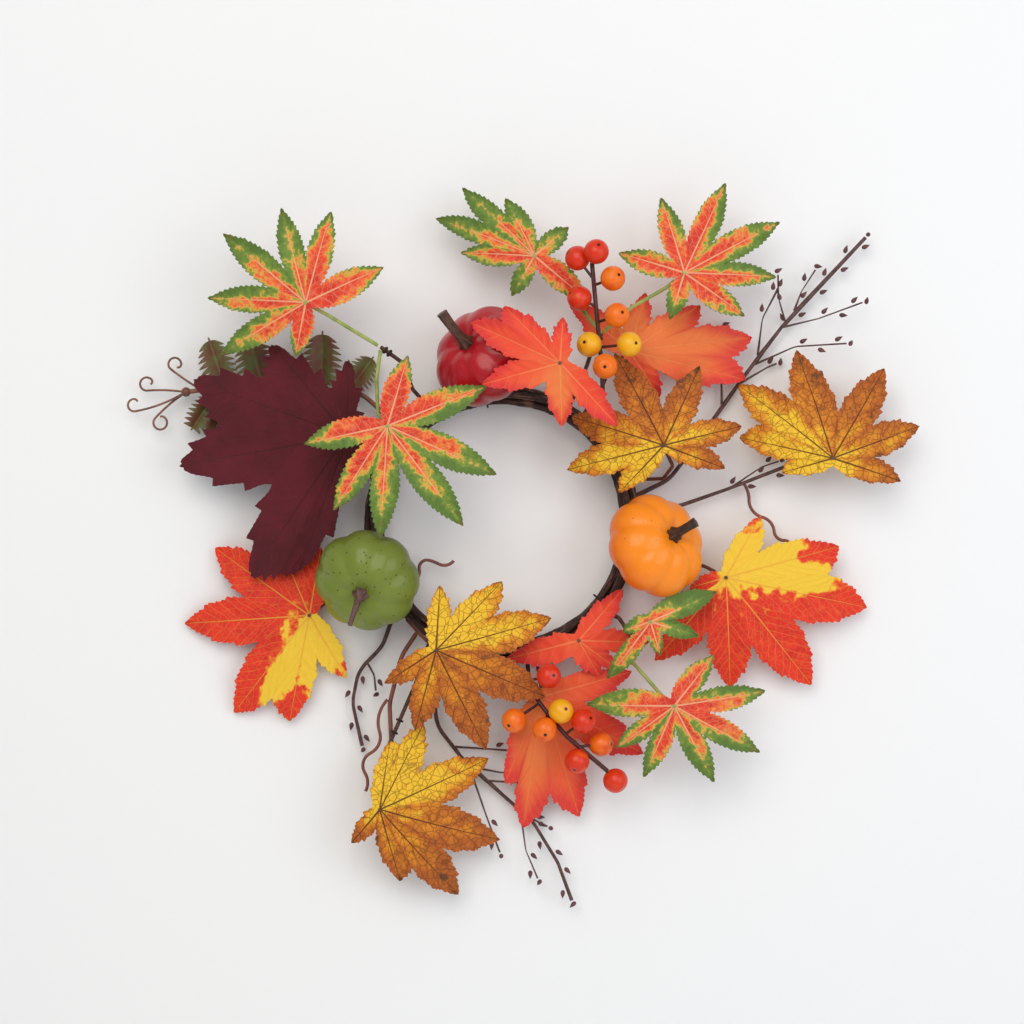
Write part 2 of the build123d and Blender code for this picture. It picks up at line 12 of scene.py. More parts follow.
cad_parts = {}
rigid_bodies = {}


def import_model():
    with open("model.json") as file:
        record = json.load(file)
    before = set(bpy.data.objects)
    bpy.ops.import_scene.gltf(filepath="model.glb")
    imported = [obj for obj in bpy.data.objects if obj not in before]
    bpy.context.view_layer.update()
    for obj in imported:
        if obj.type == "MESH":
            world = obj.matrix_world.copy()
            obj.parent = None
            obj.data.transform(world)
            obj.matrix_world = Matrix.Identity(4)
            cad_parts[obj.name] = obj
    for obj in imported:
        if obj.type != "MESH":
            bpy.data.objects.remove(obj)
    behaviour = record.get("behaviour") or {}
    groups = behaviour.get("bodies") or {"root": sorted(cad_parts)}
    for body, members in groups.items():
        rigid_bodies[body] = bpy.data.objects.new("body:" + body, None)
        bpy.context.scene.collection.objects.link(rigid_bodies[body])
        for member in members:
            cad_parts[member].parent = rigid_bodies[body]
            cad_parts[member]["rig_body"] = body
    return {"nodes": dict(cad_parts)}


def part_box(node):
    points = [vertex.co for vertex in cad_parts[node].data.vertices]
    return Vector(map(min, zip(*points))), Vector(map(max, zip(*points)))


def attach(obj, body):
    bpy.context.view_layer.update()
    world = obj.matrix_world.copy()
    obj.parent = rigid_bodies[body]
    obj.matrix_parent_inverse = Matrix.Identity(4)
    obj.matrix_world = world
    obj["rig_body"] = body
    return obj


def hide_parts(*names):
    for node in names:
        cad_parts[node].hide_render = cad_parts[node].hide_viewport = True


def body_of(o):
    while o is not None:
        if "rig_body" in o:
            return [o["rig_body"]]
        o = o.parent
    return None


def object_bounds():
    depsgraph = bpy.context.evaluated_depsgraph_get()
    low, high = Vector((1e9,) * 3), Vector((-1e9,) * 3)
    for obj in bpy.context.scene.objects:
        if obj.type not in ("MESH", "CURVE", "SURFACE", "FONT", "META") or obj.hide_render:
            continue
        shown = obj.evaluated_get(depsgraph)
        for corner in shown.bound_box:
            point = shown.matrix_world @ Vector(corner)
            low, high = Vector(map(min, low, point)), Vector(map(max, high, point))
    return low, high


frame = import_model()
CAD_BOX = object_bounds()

bl_info = {
    "name": "Harvest Door Wreath",
    "version": (1, 0, 0),
    "blender": (4, 5, 0),
    "location": "View3D > Sidebar > Wreath",
    "description": "Die-cut fabric leaves, foam pumpkins, berries and twigs on a vine ring",
    "category": "Object",
}

MM = 0.001
SHARP_EDGE = 40          # degrees between faces that stay a crease
NODES = frame["nodes"]


def hex_colour(code):
    """An sRGB hex colour as linear red, green, blue and alpha."""
    parts = [int(code[place:place + 2], 16) / 255 for place in (0, 2, 4)]
    linear = [p / 12.92 if p <= 0.04045 else ((p + 0.055) / 1.055) ** 2.4 for p in parts]
    return (*linear, 1.0)


def colour_property(name, description, code):
    return FloatVectorProperty(
        name=name, description=description, subtype="COLOR", size=4, min=0, max=1,
        default=hex_colour(code))


class WreathSizes(bpy.types.PropertyGroup):
    """Sizes of the modelled detail."""
    blade_thickness: FloatProperty(
        name="Blade thickness", description="Fabric blade with its backing",
        default=0.6 * MM, unit="LENGTH")
    fold: FloatProperty(
        name="Fold", description="How far a lobe's edges stand out of its midrib",
        default=1.3 * MM, unit="LENGTH")
    ruffle: FloatProperty(
        name="Ruffle", description="Waviness of a blade", default=1.3 * MM, unit="LENGTH")
    rib_depth: FloatProperty(
        name="Rib depth", description="Depth of the grooves between a pumpkin's ribs",
        default=2.0 * MM, unit="LENGTH")
    bark_relief: FloatProperty(
        name="Bark relief", description="Height of the ridges of the vine bark",
        default=0.45 * MM, unit="LENGTH")


class WreathColours(bpy.types.PropertyGroup):
    """Colours of the fabrics and foams."""
    leaf_green: colour_property("Leaf green", "Margins of the variegated leaves", "6F8C34")
    leaf_coral: colour_property("Leaf coral", "Centres of the variegated leaves", "E03E20")
    golden_yellow: colour_property("Golden yellow", "Centres of the golden leaves", "EFBE2A")
    golden_brown: colour_property("Golden brown", "Margins of the golden leaves", "B9601A")
    scarlet: colour_property("Scarlet", "Scarlet leaves", "E3321C")
    burgundy: colour_property("Burgundy", "Burgundy leaf", "50101A")
    coral: colour_property("Coral", "Coral leaves", "EA4A2C")
    red_pumpkin: colour_property("Red pumpkin", "Red foam pumpkin", "AE0A1A")
    orange_pumpkin: colour_property("Orange pumpkin", "Orange foam pumpkin", "FA8C10")
    green_pumpkin: colour_property("Green pumpkin", "Green foam pumpkin", "71802A")
    bark: colour_property("Bark", "Vine and twigs", "43281F")


class WreathStage(bpy.types.PropertyGroup):
    """Camera and light."""
    distance: FloatProperty(
        name="Camera distance", description="Camera to the ring's middle plane",
        default=1.3, unit="LENGTH")
    lens: FloatProperty(name="Lens", description="Focal length in millimetres", default=91.4)
    key_power: FloatProperty(
        name="Key power", description="Power of the large soft light", default=11.5, unit="POWER")
    sky: FloatProperty(name="Sky", description="Strength of the even light", default=0.47)


# ---------------------------------------------------------------- materials

def add_node(tree, kind, inputs=None, **settings):
    """Adds a node, sets its properties, and sets or links its inputs."""
    node = tree.nodes.new(kind)
    for name, value in settings.items():
        setattr(node, name, value)
    for key, value in (inputs or {}).items():
        if isinstance(value, bpy.types.NodeSocket):
            tree.links.new(value, node.inputs[key])
        else:
            node.inputs[key].default_value = value
    return node


def new_material(name):
    """A material with an empty tree, its surface shader and its Object coordinates in mm."""
    material = bpy.data.materials.new(name)
    material.use_nodes = True
    tree = material.node_tree
    tree.nodes.clear()
    shader = add_node(tree, "ShaderNodeBsdfPrincipled")
    add_node(tree, "ShaderNodeOutputMaterial", {"Surface": shader.outputs["BSDF"]})
    place = add_node(tree, "ShaderNodeTexCoord").outputs["Object"]
    millimetres = add_node(
        tree, "ShaderNodeVectorMath", {0: place, "Scale": 1 / MM}, operation="SCALE").outputs[0]
    return material, tree, shader, millimetres


def mix_colour(tree, share, first, second):
    return add_node(tree, "ShaderNodeMix", {0: share, 6: first, 7: second}, data_type="RGBA").outputs[2]


def ramp(tree, value, low, high, start=0.0, end=1.0):
    return add_node(
        tree, "ShaderNodeMapRange",
        {"Value": value, "From Min": low, "From Max": high, "To Min": start, "To Max": end},
        interpolation_type="SMOOTHSTEP").outputs[0]


def maths(tree, operation, first, second=0.0):
    return add_node(tree, "ShaderNodeMath", {0: first, 1: second}, operation=operation).outputs[0]


def cloudy(tree, place, size, detail=3.0):
    """Cloudy noise whose patches are about size mm across."""
    return add_node(
        tree, "ShaderNodeTexNoise", {"Vector": place, "Scale": 1 / size, "Detail": detail}).outputs[0]


def drift(tree, place, size, strength, detail=3.0):
    """Cloudy noise that swings either side of nought."""
    centred = maths(tree, "SUBTRACT", cloudy(tree, place, size, detail), 0.5)
    return maths(tree, "MULTIPLY", centred, strength)


def skin(tree, shader, colour, height, strength, depth):
    """Links a colour and a relief, whose depth is in mm, to the surface."""
    bump = add_node(
        tree, "ShaderNodeBump", {"Strength": strength, "Distance": depth * MM, "Height": height})
    tree.links.new(colour, shader.inputs["Base Color"])
    tree.links.new(bump.outputs[0], shader.inputs["Normal"])


# Along a lobe's midrib and out from it in mm, the printed zone, then the share of the lobe's
# length, the share of its half width, and the lobe's own number.
BladeMap = namedtuple("BladeMap", "along out zone length_share share number")


def blade_map(tree):
    values = []
    for name in ("blade", "span"):
        read = add_node(tree, "ShaderNodeAttribute", attribute_name=name)
        values += add_node(tree, "ShaderNodeSeparateXYZ", {0: read.outputs["Vector"]}).outputs[:3]
    return BladeMap(*values)


def vein_mask(tree, place, blade, spacing, midrib=1.0, laterals=0.5, net=0.0):
    """The printed midrib, the side veins and the fine net between them, each with its weight."""
    width = ramp(tree, blade.length_share, 0.0, 1.0, 0.6, 0.18)
    middle = ramp(tree, maths(tree, "DIVIDE", blade.out, width), 0.55, 1.15, 1.0, 0.0)
    wobble = maths(tree, "MULTIPLY", cloudy(tree, place, 8.0), 5.0)
    slant = maths(tree, "MULTIPLY", blade.out, 0.55)
    course = maths(tree, "ADD", blade.along, maths(tree, "SUBTRACT", wobble, slant))
    side = ramp(tree, maths(tree, "PINGPONG", course, spacing / 2), 0.08, 0.38, 1.0, 0.0)
    cells = add_node(
        tree, "ShaderNodeTexVoronoi", {"Vector": place, "Scale": 1 / 3.4},
        feature="DISTANCE_TO_EDGE").outputs["Distance"]
    mesh = ramp(tree, cells, 0.02, 0.07, 1.0, 0.0)
    veins = maths(tree, "MULTIPLY", middle, midrib)
    veins = maths(tree, "MAXIMUM", veins, maths(tree, "MULTIPLY", side, laterals))
    return maths(tree, "MAXIMUM", veins, maths(tree, "MULTIPLY", mesh, net))


def finish_cloth(tree, shader, place, colour, relief, roughness, sheen):
    """Printed polyester: a plain weave about 0.35 mm apart, drawn at 0.7 mm so that it
    shows, and raised veins."""
    threads = [add_node(
        tree, "ShaderNodeTexWave", {"Vector": place, "Scale": 1 / 0.7 / 3.0, "Distortion": 0.6},
        bands_direction=direction).outputs["Fac"] for direction in "XZ"]
    weave = maths(tree, "MULTIPLY", maths(tree, "MAXIMUM", *threads), 0.12)
    skin(tree, shader, colour, maths(tree, "ADD", weave, relief), 0.7, 0.35)
    shader.inputs["Roughness"].default_value = roughness
    shader.inputs["Sheen Weight"].default_value = sheen
    shader.inputs["Sheen Roughness"].default_value = 0.5
    shader.inputs["IOR"].default_value = 1.45
    shader.inputs["Specular IOR Level"].default_value = 0.35


def variegated_cloth(colours):
    """Printed polyester, heat-set: coral centre, a yellow band, green margins, pale veins."""
    material, tree, shader, place = new_material("printed polyester variegated leaf")
    blade = blade_map(tree)
    ragged = drift(tree, place, 2.2, 1.0, 4.0)
    # The print runs from coral below nought, through yellow, to green above a quarter.
    reach = maths(tree, "ADD", maths(tree, "MULTIPLY", blade.share, 0.62),
                  maths(tree, "MULTIPLY", blade.length_share, 0.95))
    kept_coral = maths(tree, "ADD", maths(tree, "MULTIPLY", blade.zone, 0.9), 0.60)
    reach = maths(tree, "SUBTRACT", reach, kept_coral)
    reach = maths(tree, "ADD", reach, ragged)
    reach = maths(tree, "ADD", reach, drift(tree, place, 8.0, 1.1))
    coral = mix_colour(tree, ramp(tree, cloudy(tree, place, 6.0), 0.4, 0.65), colours.leaf_coral,
                       hex_colour("CE2E1E"))
    warm = mix_colour(tree, ramp(tree, reach, -0.30, 0.0), coral, hex_colour("EA7030"))
    band = mix_colour(tree, ramp(tree, reach, -0.02, 0.14), warm, hex_colour("D6B040"))
    green = mix_colour(tree, ramp(tree, reach, 0.25, 0.7), colours.leaf_green, hex_colour("55742A"))
    colour = mix_colour(tree, ramp(tree, reach, 0.08, 0.30), band, green)
    tip = ramp(tree, maths(tree, "ADD", blade.length_share, ragged), 0.90, 1.10)
    colour = mix_colour(tree, maths(tree, "MULTIPLY", tip, 0.4), colour, hex_colour("96642C"))
    veins = vein_mask(tree, place, blade, 5.0, midrib=0.75, laterals=0.3, net=0.2)
    inside = ramp(tree, reach, 0.0, 0.25, 1.0, 0.15)
    colour = mix_colour(tree, maths(tree, "MULTIPLY", veins, inside), colour, hex_colour("F2B88A"))
    finish_cloth(tree, shader, place, colour, veins, 0.55, 0.1)
    return material


def golden_cloth(colours):
    """Printed polyester, heat-set: yellow to brown margins, dark net of veins, smudges."""
    material, tree, shader, place = new_material("printed polyester golden maple")
    blade = blade_map(tree)
    # The print runs from yellow below a tenth, through amber, to brown above three quarters.
    reach = maths(tree, "ADD", maths(tree, "MULTIPLY", maths(tree, "POWER", blade.share, 2.5), 0.35),
                  maths(tree, "MULTIPLY", blade.length_share, 0.45))
    reach = maths(tree, "ADD", maths(tree, "ADD", reach, drift(tree, place, 7.0, 1.0, 5.0)), blade.zone)
    amber = mix_colour(tree, ramp(tree, reach, 0.10, 0.45), colours.golden_yellow, hex_colour("D98418"))
    brown = mix_colour(tree, ramp(tree, reach, 0.38, 0.75), amber, colours.golden_brown)
    grain = ramp(tree, cloudy(tree, place, 1.0, 4.0), 0.35, 0.65, 0.0, 0.4)
    brown = mix_colour(tree, maths(tree, "MULTIPLY", grain, ramp(tree, reach, 0.2, 0.8)), brown,
                       hex_colour("8A4816"))
    smudge = maths(tree, "MULTIPLY", ramp(tree, cloudy(tree, place, 8.0, 3.0), 0.60, 0.68),
                   ramp(tree, reach, 0.45, 0.75))
    colour = mix_colour(tree, maths(tree, "MULTIPLY", smudge, 0.75), brown, hex_colour("5A3C1C"))
    veins = vein_mask(tree, place, blade, 9.0, laterals=0.7, net=0.55)
    colour = mix_colour(tree, maths(tree, "MULTIPLY", veins, 0.9), colour, hex_colour("4E220A"))
    finish_cloth(tree, shader, place, colour, maths(tree, "MULTIPLY", veins, -0.8), 0.6, 0.1)
    return material


def scarlet_cloth(colours):
    """Printed polyester, heat-set: scarlet with yellow zones and yellow veins."""
    material, tree, shader, place = new_material("printed polyester scarlet maple")
    blade = blade_map(tree)
    # Yellow fades towards the tips and gathers at the hub.
    yellow = maths(tree, "ADD", blade.zone, drift(tree, place, 5.0, 1.2, 5.0))
    yellow = maths(tree, "SUBTRACT", yellow, ramp(tree, blade.length_share, 0.45, 0.9, 0.0, 0.8))
    yellow = maths(tree, "ADD", yellow, ramp(tree, blade.length_share, 0.0, 0.4, 0.5, 0.0))
    red = mix_colour(tree, ramp(tree, cloudy(tree, place, 7.0), 0.4, 0.7), colours.scarlet,
                     hex_colour("D2281A"))
    glow = mix_colour(tree, ramp(tree, yellow, 0.36, 0.48), red, hex_colour("EE8226"))
    colour = mix_colour(tree, ramp(tree, yellow, 0.46, 0.56), glow, hex_colour("F0C636"))
    veins = vein_mask(tree, place, blade, 6.0, laterals=0.45, net=0.18)
    colour = mix_colour(tree, maths(tree, "MULTIPLY", veins, 0.7), colour, hex_colour("EFA83A"))
    finish_cloth(tree, shader, place, colour, maths(tree, "MULTIPLY", veins, 0.8), 0.6, 0.1)
    return material


def burgundy_cloth(colours):
    """Dyed matt polyester with a short nap: deep burgundy, its veins pressed in."""
    material, tree, shader, place = new_material("napped polyester burgundy maple")
    tone = ramp(tree, cloudy(tree, place, 13.0, 4.0), 0.35, 0.7)
    colour = mix_colour(tree, tone, colours.burgundy, hex_colour("5E1420"))
    veins = vein_mask(tree, place, blade_map(tree), 13.0, laterals=0.35)
    colour = mix_colour(tree, maths(tree, "MULTIPLY", veins, 0.45), colour, hex_colour("34090F"))
    nap = maths(tree, "MULTIPLY", cloudy(tree, place, 0.8), 0.3)
    relief = maths(tree, "SUBTRACT", nap, maths(tree, "MULTIPLY", veins, 1.2))
    finish_cloth(tree, shader, place, colour, relief, 0.8, 0.15)
    return material


def coral_cloth(colours):
    """Thin dyed polyester, heat-set: coral, orange towards the hub, faint pale veins."""
    material, tree, shader, place = new_material("dyed polyester coral maple")
    blade = blade_map(tree)
    warm = maths(tree, "SUBTRACT", maths(tree, "ADD", blade.zone, drift(tree, place, 12.0, 0.5)),
                 maths(tree, "MULTIPLY", blade.length_share, 0.55))
    colour = mix_colour(tree, ramp(tree, warm, 0.0, 0.7), colours.coral, hex_colour("E8783A"))
    rim = maths(tree, "ADD", maths(tree, "MULTIPLY", blade.share, 0.6), blade.length_share)
    edge = ramp(tree, rim, 0.75, 1.2, 0.0, 0.8)
    colour = mix_colour(tree, edge, colour, hex_colour("D62C30"))
    veins = vein_mask(tree, place, blade, 7.0)
    colour = mix_colour(tree, maths(tree, "MULTIPLY", veins, 0.4), colour, hex_colour("F9A060"))
    finish_cloth(tree, shader, place, colour, maths(tree, "MULTIPLY", veins, 0.7), 0.55, 0.12)
    return material


def moulded_plastic(name, code, dark_code, roughness, patch, relief):
    """Moulded polyethylene: two close tones, a satin skin and a little moulding grain."""
    material, tree, shader, place = new_material(name)
    tone = ramp(tree, cloudy(tree, place, patch, 4.0), 0.35, 0.68)
    colour = mix_colour(tree, tone, hex_colour(code), hex_colour(dark_code))
    skin(tree, shader, colour, cloudy(tree, place, relief), 0.5, 0.2)
    shader.inputs["Roughness"].default_value = roughness
    shader.inputs["IOR"].default_value = 1.5
    return material


def vine_bark(colours):
    """Dried grapevine: long split ridges of bark, dull, with paler worn ridges."""
    material, tree, shader, place = new_material("dried grapevine bark")
    bark = blade_map(tree)
    fibres = add_node(tree, "ShaderNodeCombineXYZ", {
        0: maths(tree, "MULTIPLY", bark.along, 0.12), 1: maths(tree, "MULTIPLY", bark.out, 2.2),
        2: bark.number}).outputs[0]
    ridges = cloudy(tree, fibres, 1.0, 5.0)
    colour = mix_colour(tree, ramp(tree, ridges, 0.38, 0.66), hex_colour("2A1712"), colours.bark)
    worn = maths(tree, "ADD", ridges, cloudy(tree, place, 9.0))
    colour = mix_colour(tree, ramp(tree, worn, 1.02, 1.3), colour, hex_colour("7A5844"))
    skin(tree, shader, colour, ridges, 0.9, 0.5)
    shader.inputs["Roughness"].default_value = 0.72
    return material


FoamPaint = namedtuple("FoamPaint", "top base speck speck_share roughness pits")


def painted_foam(name, paint, centre, axis):
    """Carved polystyrene foam under lacquer: tones shift from crown to base, with specks
    of darker paint and fine pits."""
    material, tree, shader, place = new_material(name)
    local = add_node(tree, "ShaderNodeVectorMath", {0: place, 1: centre / MM}, operation="SUBTRACT")
    height = add_node(tree, "ShaderNodeVectorMath", {0: local.outputs[0], 1: axis}, operation="DOT_PRODUCT")
    level = maths(tree, "ADD", height.outputs["Value"], drift(tree, place, 16.0, 14.0))
    colour = mix_colour(tree, ramp(tree, level, -17.0, 13.0), hex_colour(paint.base), paint.top)
    specks = add_node(tree, "ShaderNodeTexVoronoi", {"Vector": place, "Scale": 1 / 3.2})
    sparse = ramp(tree, cloudy(tree, place, 5.0), 1 - paint.speck_share, 1.04 - paint.speck_share)
    dots = maths(tree, "MULTIPLY", ramp(tree, specks.outputs["Distance"], 0.10, 0.20, 1.0, 0.0), sparse)
    colour = mix_colour(tree, maths(tree, "MULTIPLY", dots, 0.8), colour, hex_colour(paint.speck))
    pitted = add_node(tree, "ShaderNodeTexVoronoi", {"Vector": place, "Scale": 1 / paint.pits})
    pit = ramp(tree, pitted.outputs["Distance"], 0.0, 0.28)
    rough = maths(tree, "ADD", pit, maths(tree, "MULTIPLY", cloudy(tree, place, 3.0, 4.0), 1.2))
    skin(tree, shader, colour, rough, 0.35, 0.4)
    shader.inputs["Roughness"].default_value = paint.roughness
    shader.inputs["Specular IOR Level"].default_value = 0.3
    shader.inputs["Coat Weight"].default_value = 0.3
    shader.inputs["Coat Roughness"].default_value = 0.14
    return material


def berry_lacquer():
    """Foam bead under thick lacquer: red to yellow by bead, a blush, and a dark eye. A
    bead's ripeness and height stand where a blade's along and out do."""
    material, tree, shader, place = new_material("lacquered foam berry")
    ripeness, height = blade_map(tree)[:2]
    ripe = maths(tree, "ADD", ripeness, drift(tree, place, 5.0, 0.7))
    colour = mix_colour(tree, ramp(tree, ripe, 0.1, 0.5), hex_colour("D92E06"), hex_colour("F07008"))
    colour = mix_colour(tree, ramp(tree, ripe, 0.5, 0.95), colour, hex_colour("F0B010"))
    colour = mix_colour(tree, ramp(tree, height, 0.984, 0.992), colour, hex_colour("2E120A"))
    skin(tree, shader, colour, cloudy(tree, place, 2.0), 0.3, 0.3)
    shader.inputs["Roughness"].default_value = 0.4
    shader.inputs["Specular IOR Level"].default_value = 0.3
    shader.inputs["Coat Weight"].default_value = 0.3
    shader.inputs["Coat Roughness"].default_value = 0.15
    return material


def drawn_wire(name, code, metallic, roughness):
    """Drawn steel wire: fine scratches, dulled by handling."""
    material, tree, shader, place = new_material(name)
    tone = ramp(tree, cloudy(tree, place, 4.0), 0.4, 0.7)
    colour = mix_colour(tree, tone, hex_colour(code), hex_colour("1E1A18"))
    skin(tree, shader, colour, cloudy(tree, place, 0.6), 0.3, 0.1)
    shader.inputs["Metallic"].default_value = metallic
    shader.inputs["Roughness"].default_value = roughness
    return material


# ---------------------------------------------------------------- mesh helpers

def merged(node_name):
    """A copy of a CAD node as one merged mesh."""
    copy = bmesh.new()
    copy.from_mesh(NODES[node_name].data)
    bmesh.ops.remove_doubles(copy, verts=copy.verts, dist=1e-6)
    copy.normal_update()
    return copy


def islands(copy):
    """The separate shells of a mesh, each as a list of its vertices."""
    left, shells = set(copy.verts), []
    while left:
        shell, edge = [], [next(v for v in copy.verts if v in left)]
        left.discard(edge[0])
        while edge:
            vertex = edge.pop()
            shell.append(vertex)
            for link in vertex.link_edges:
                other = link.other_vert(vertex)
                if other in left:
                    left.discard(other)
                    edge.append(other)
        shells.append(shell)
    return shells


def middle_of(points):
    """The middle of the box round some points."""
    points = [Vector(p) for p in points]
    low = Vector([min(p[i] for p in points) for i in range(3)])
    high = Vector([max(p[i] for p in points) for i in range(3)])
    return (low + high) / 2


def strip(first, rows, columns, turned=False):
    """Quads between rows of points that lie one after another."""
    quads = []
    for row in range(rows - 1):
        for column in range(columns - 1):
            a = first + row * columns + column
            quad = (a, a + columns, a + columns + 1, a + 1)
            quads.append(quad[::-1] if turned else quad)
    return quads


def new_piece(name, points, faces, attributes=None):
    """An object at the origin from points and faces, with its vertex attributes."""
    mesh = bpy.data.meshes.new(name)
    mesh.from_pydata([tuple(p) for p in points], [], faces)
    for key, values in (attributes or {}).items():
        store = mesh.attributes.new(key, "FLOAT_VECTOR", "POINT")
        store.data.foreach_set("vector", np.array(values, np.float32).ravel())
    piece = bpy.data.objects.new(name, mesh)
    bpy.context.scene.collection.objects.link(piece)
    return piece


def shell_middles(node_name):
    """The middle of each separate shell of a CAD node."""
    copy = merged(node_name)
    middles = [middle_of([v.co for v in shell]) for shell in islands(copy)]
    copy.free()
    return middles


def ring_of_hoop():
    """The centre of the steel hoop and its outer radius."""
    low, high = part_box("core_hoop")
    return (low + high) / 2, (high.x - low.x) / 2


def only_select(*pieces):
    bpy.ops.object.select_all(action="DESELECT")
    for piece in pieces:
        piece.select_set(True)
    bpy.context.view_layer.objects.active = pieces[0]


def weld(piece, distance=1e-7, outward=True):
    """Merges doubles and turns every face outwards."""
    only_select(piece)
    bpy.ops.object.mode_set(mode="EDIT")
    bpy.ops.mesh.select_all(action="SELECT")
    bpy.ops.mesh.remove_doubles(threshold=distance)
    if outward:
        bpy.ops.mesh.normals_make_consistent(inside=False)
    bpy.ops.object.mode_set(mode="OBJECT")


def apply_modifier(piece, kind, **settings):
    only_select(piece)
    modifier = piece.modifiers.new(kind.title(), kind)
    for name, value in settings.items():
        setattr(modifier, name, value)
    bpy.ops.object.modifier_apply(modifier=modifier.name)


def stand_for(piece, node_name, material):
    """piece takes a CAD node's place, moves with its body and takes the finish."""
    piece.data.materials.clear()
    piece.data.materials.append(material)
    only_select(piece)
    bpy.ops.object.shade_smooth_by_angle(angle=math.radians(SHARP_EDGE))
    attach(piece, body_of(NODES[node_name])[0])
    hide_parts(node_name)


def finish_nodes(material, *node_names):
    """Gives carried-over CAD nodes their finish."""
    for name in node_names:
        slots = NODES[name].material_slots
        if not slots:
            NODES[name].data.materials.append(material)
        for slot in slots:
            slot.material = material


# ---------------------------------------------------------------- leaves

FRONT_FACING = -0.3      # y of the normals on a blade's front
NEAR_DOUBLE = 0.02       # rim points closer than this, in mm, are one
TIP_TURN = 38            # degrees that the rim turns at a lobe's tip
TIP_REACH = 7            # mm from the hub to the nearest tip


def chain(edges):
    """Edges as closed loops of vertices."""
    links = {}
    for edge in edges:
        for vertex in edge.verts:
            links.setdefault(vertex, []).append(edge.other_vert(vertex))
    loops = []
    while links:
        start = next(iter(links))
        loop, here, before = [start], links[start][0], start
        while here is not start:
            loop.append(here)
            following = [v for v in links[here] if v is not before]
            before, here = here, following[0] if following else start
        for vertex in loop:
            links.pop(vertex, None)
        loops.append(loop)
    return loops


def blade_form(node_name):
    """The blade's rim and hub, seen from the front, and the dome it is pressed to."""
    copy = merged(node_name)
    front = {face for face in copy.faces if face.normal.y < FRONT_FACING}
    edges = [e for e in copy.edges if sum(f in front for f in e.link_faces) == 1]
    edges.sort(key=lambda e: (e.verts[0].co.x, e.verts[0].co.z))
    loops = chain(edges)
    loops.sort(key=lambda loop: (middle_of([v.co for v in loop]) - loop[0].co).length)
    hub = middle_of([v.co for v in loops[0]])
    rim = np.array([(v.co.x - hub.x, v.co.z - hub.z) for v in loops[-1]]) / MM
    following = np.roll(rim, -1, 0)
    if (rim[:, 0] * following[:, 1] - rim[:, 1] * following[:, 0]).sum() < 0:
        rim = rim[::-1]
    rim = np.roll(rim, -int(np.hypot(*rim.T).argmin()), 0)
    keep = [0]
    for number in range(1, len(rim)):
        if np.hypot(*(rim[number] - rim[keep[-1]])) > NEAR_DOUBLE:
            keep.append(number)
    rim = rim[keep]
    surface = np.array([v.co for face in front for v in face.verts])
    x, z = (surface[:, 0] - hub.x) / MM, (surface[:, 2] - hub.z) / MM
    terms = np.stack([np.ones_like(x), x, z, x * x, x * z, z * z], 1)
    dome = np.linalg.lstsq(terms, -surface[:, 1] / MM, rcond=None)[0]
    copy.free()
    return hub, rim, dome


def corners(rim):
    """The lobe tips, and the notches between them, as places in the rim."""
    count = len(rim)
    arriving = rim - np.roll(rim, 1, 0)
    leaving = np.roll(rim, -1, 0) - rim
    turn = np.degrees(np.arctan2(
        arriving[:, 0] * leaving[:, 1] - arriving[:, 1] * leaving[:, 0], (arriving * leaving).sum(1)))
    reach = np.hypot(*rim.T)
    tips = [n for n in range(count) if turn[n] > TIP_TURN and reach[n] > TIP_REACH]
    notches = [0]
    for first, second in zip(tips, tips[1:]):
        notches.append(first + 1 + int(turn[first + 1:second].argmin()))
    notches.append(count)
    return tips, notches


def spaced(path, spacing):
    """A path divided evenly, and its length."""
    steps = np.hypot(*np.diff(path, axis=0).T)
    marks = np.concatenate([[0], np.cumsum(steps)])
    count = max(6, round(marks[-1] / spacing))
    wanted = np.linspace(0, marks[-1], count + 1)
    places = np.stack([np.interp(wanted, marks, path[:, axis]) for axis in (0, 1)], 1)
    return places, marks[-1]


# In mm: the spacing and depth of the fine teeth, the depth of the large ones, how far the sides
# bulge and how far the tips curl forward, or back where it is below nought. Then lobules counts
# the large teeth on each side of a lobe, and waviness multiplies the ruffle.
Edge = namedtuple("Edge", "tooth depth lobules lobule_depth bulge curl waviness")
EDGES = {
    "variegated_fabric": Edge(2.7, 1.25, 0, 0.0, 0.6, -2.0, 1.2),
    "golden_fabric": Edge(3.1, 1.0, 3, 1.3, 0.5, -3.0, 1.2),
    "scarlet_fabric": Edge(3.0, 1.1, 3, 1.3, 0.5, -2.5, 1.0),
    "burgundy_fabric": Edge(2.8, 0.35, 3, 4.2, 0.8, -1.5, 2.6),
    "coral_fabric": Edge(2.6, 0.8, 3, 1.6, 0.6, -2.5, 1.4),
}
RUNGS_ACROSS = 6
HUB_RUNGS = 8
SAMPLES_PER_TOOTH = 4
MIDDLE_SHARE = 0.35      # where a folded half blade crosses its dome


def toothed(side, length, edge, outward):
    """The side of a lobe, notch to tip, with its fine teeth and its large ones."""
    along = np.linspace(0, 1, len(side))
    direction = np.gradient(side, axis=0)
    direction /= np.hypot(*direction.T)[:, None]
    normal = np.stack([-direction[:, 1], direction[:, 0]], 1) * outward
    fade = np.minimum(1, np.minimum(along * 8, (1 - along) * 5))
    teeth = max(2, round(length / edge.tooth))
    offset = ((along * teeth) % 1 - 0.45) * edge.depth
    if edge.lobules:
        offset += (((along * edge.lobules + 0.15) % 1) ** 1.6 - 0.45) * edge.lobule_depth
    offset += edge.bulge * np.sin(math.pi * along)
    return side + normal * (offset * fade)[:, None]


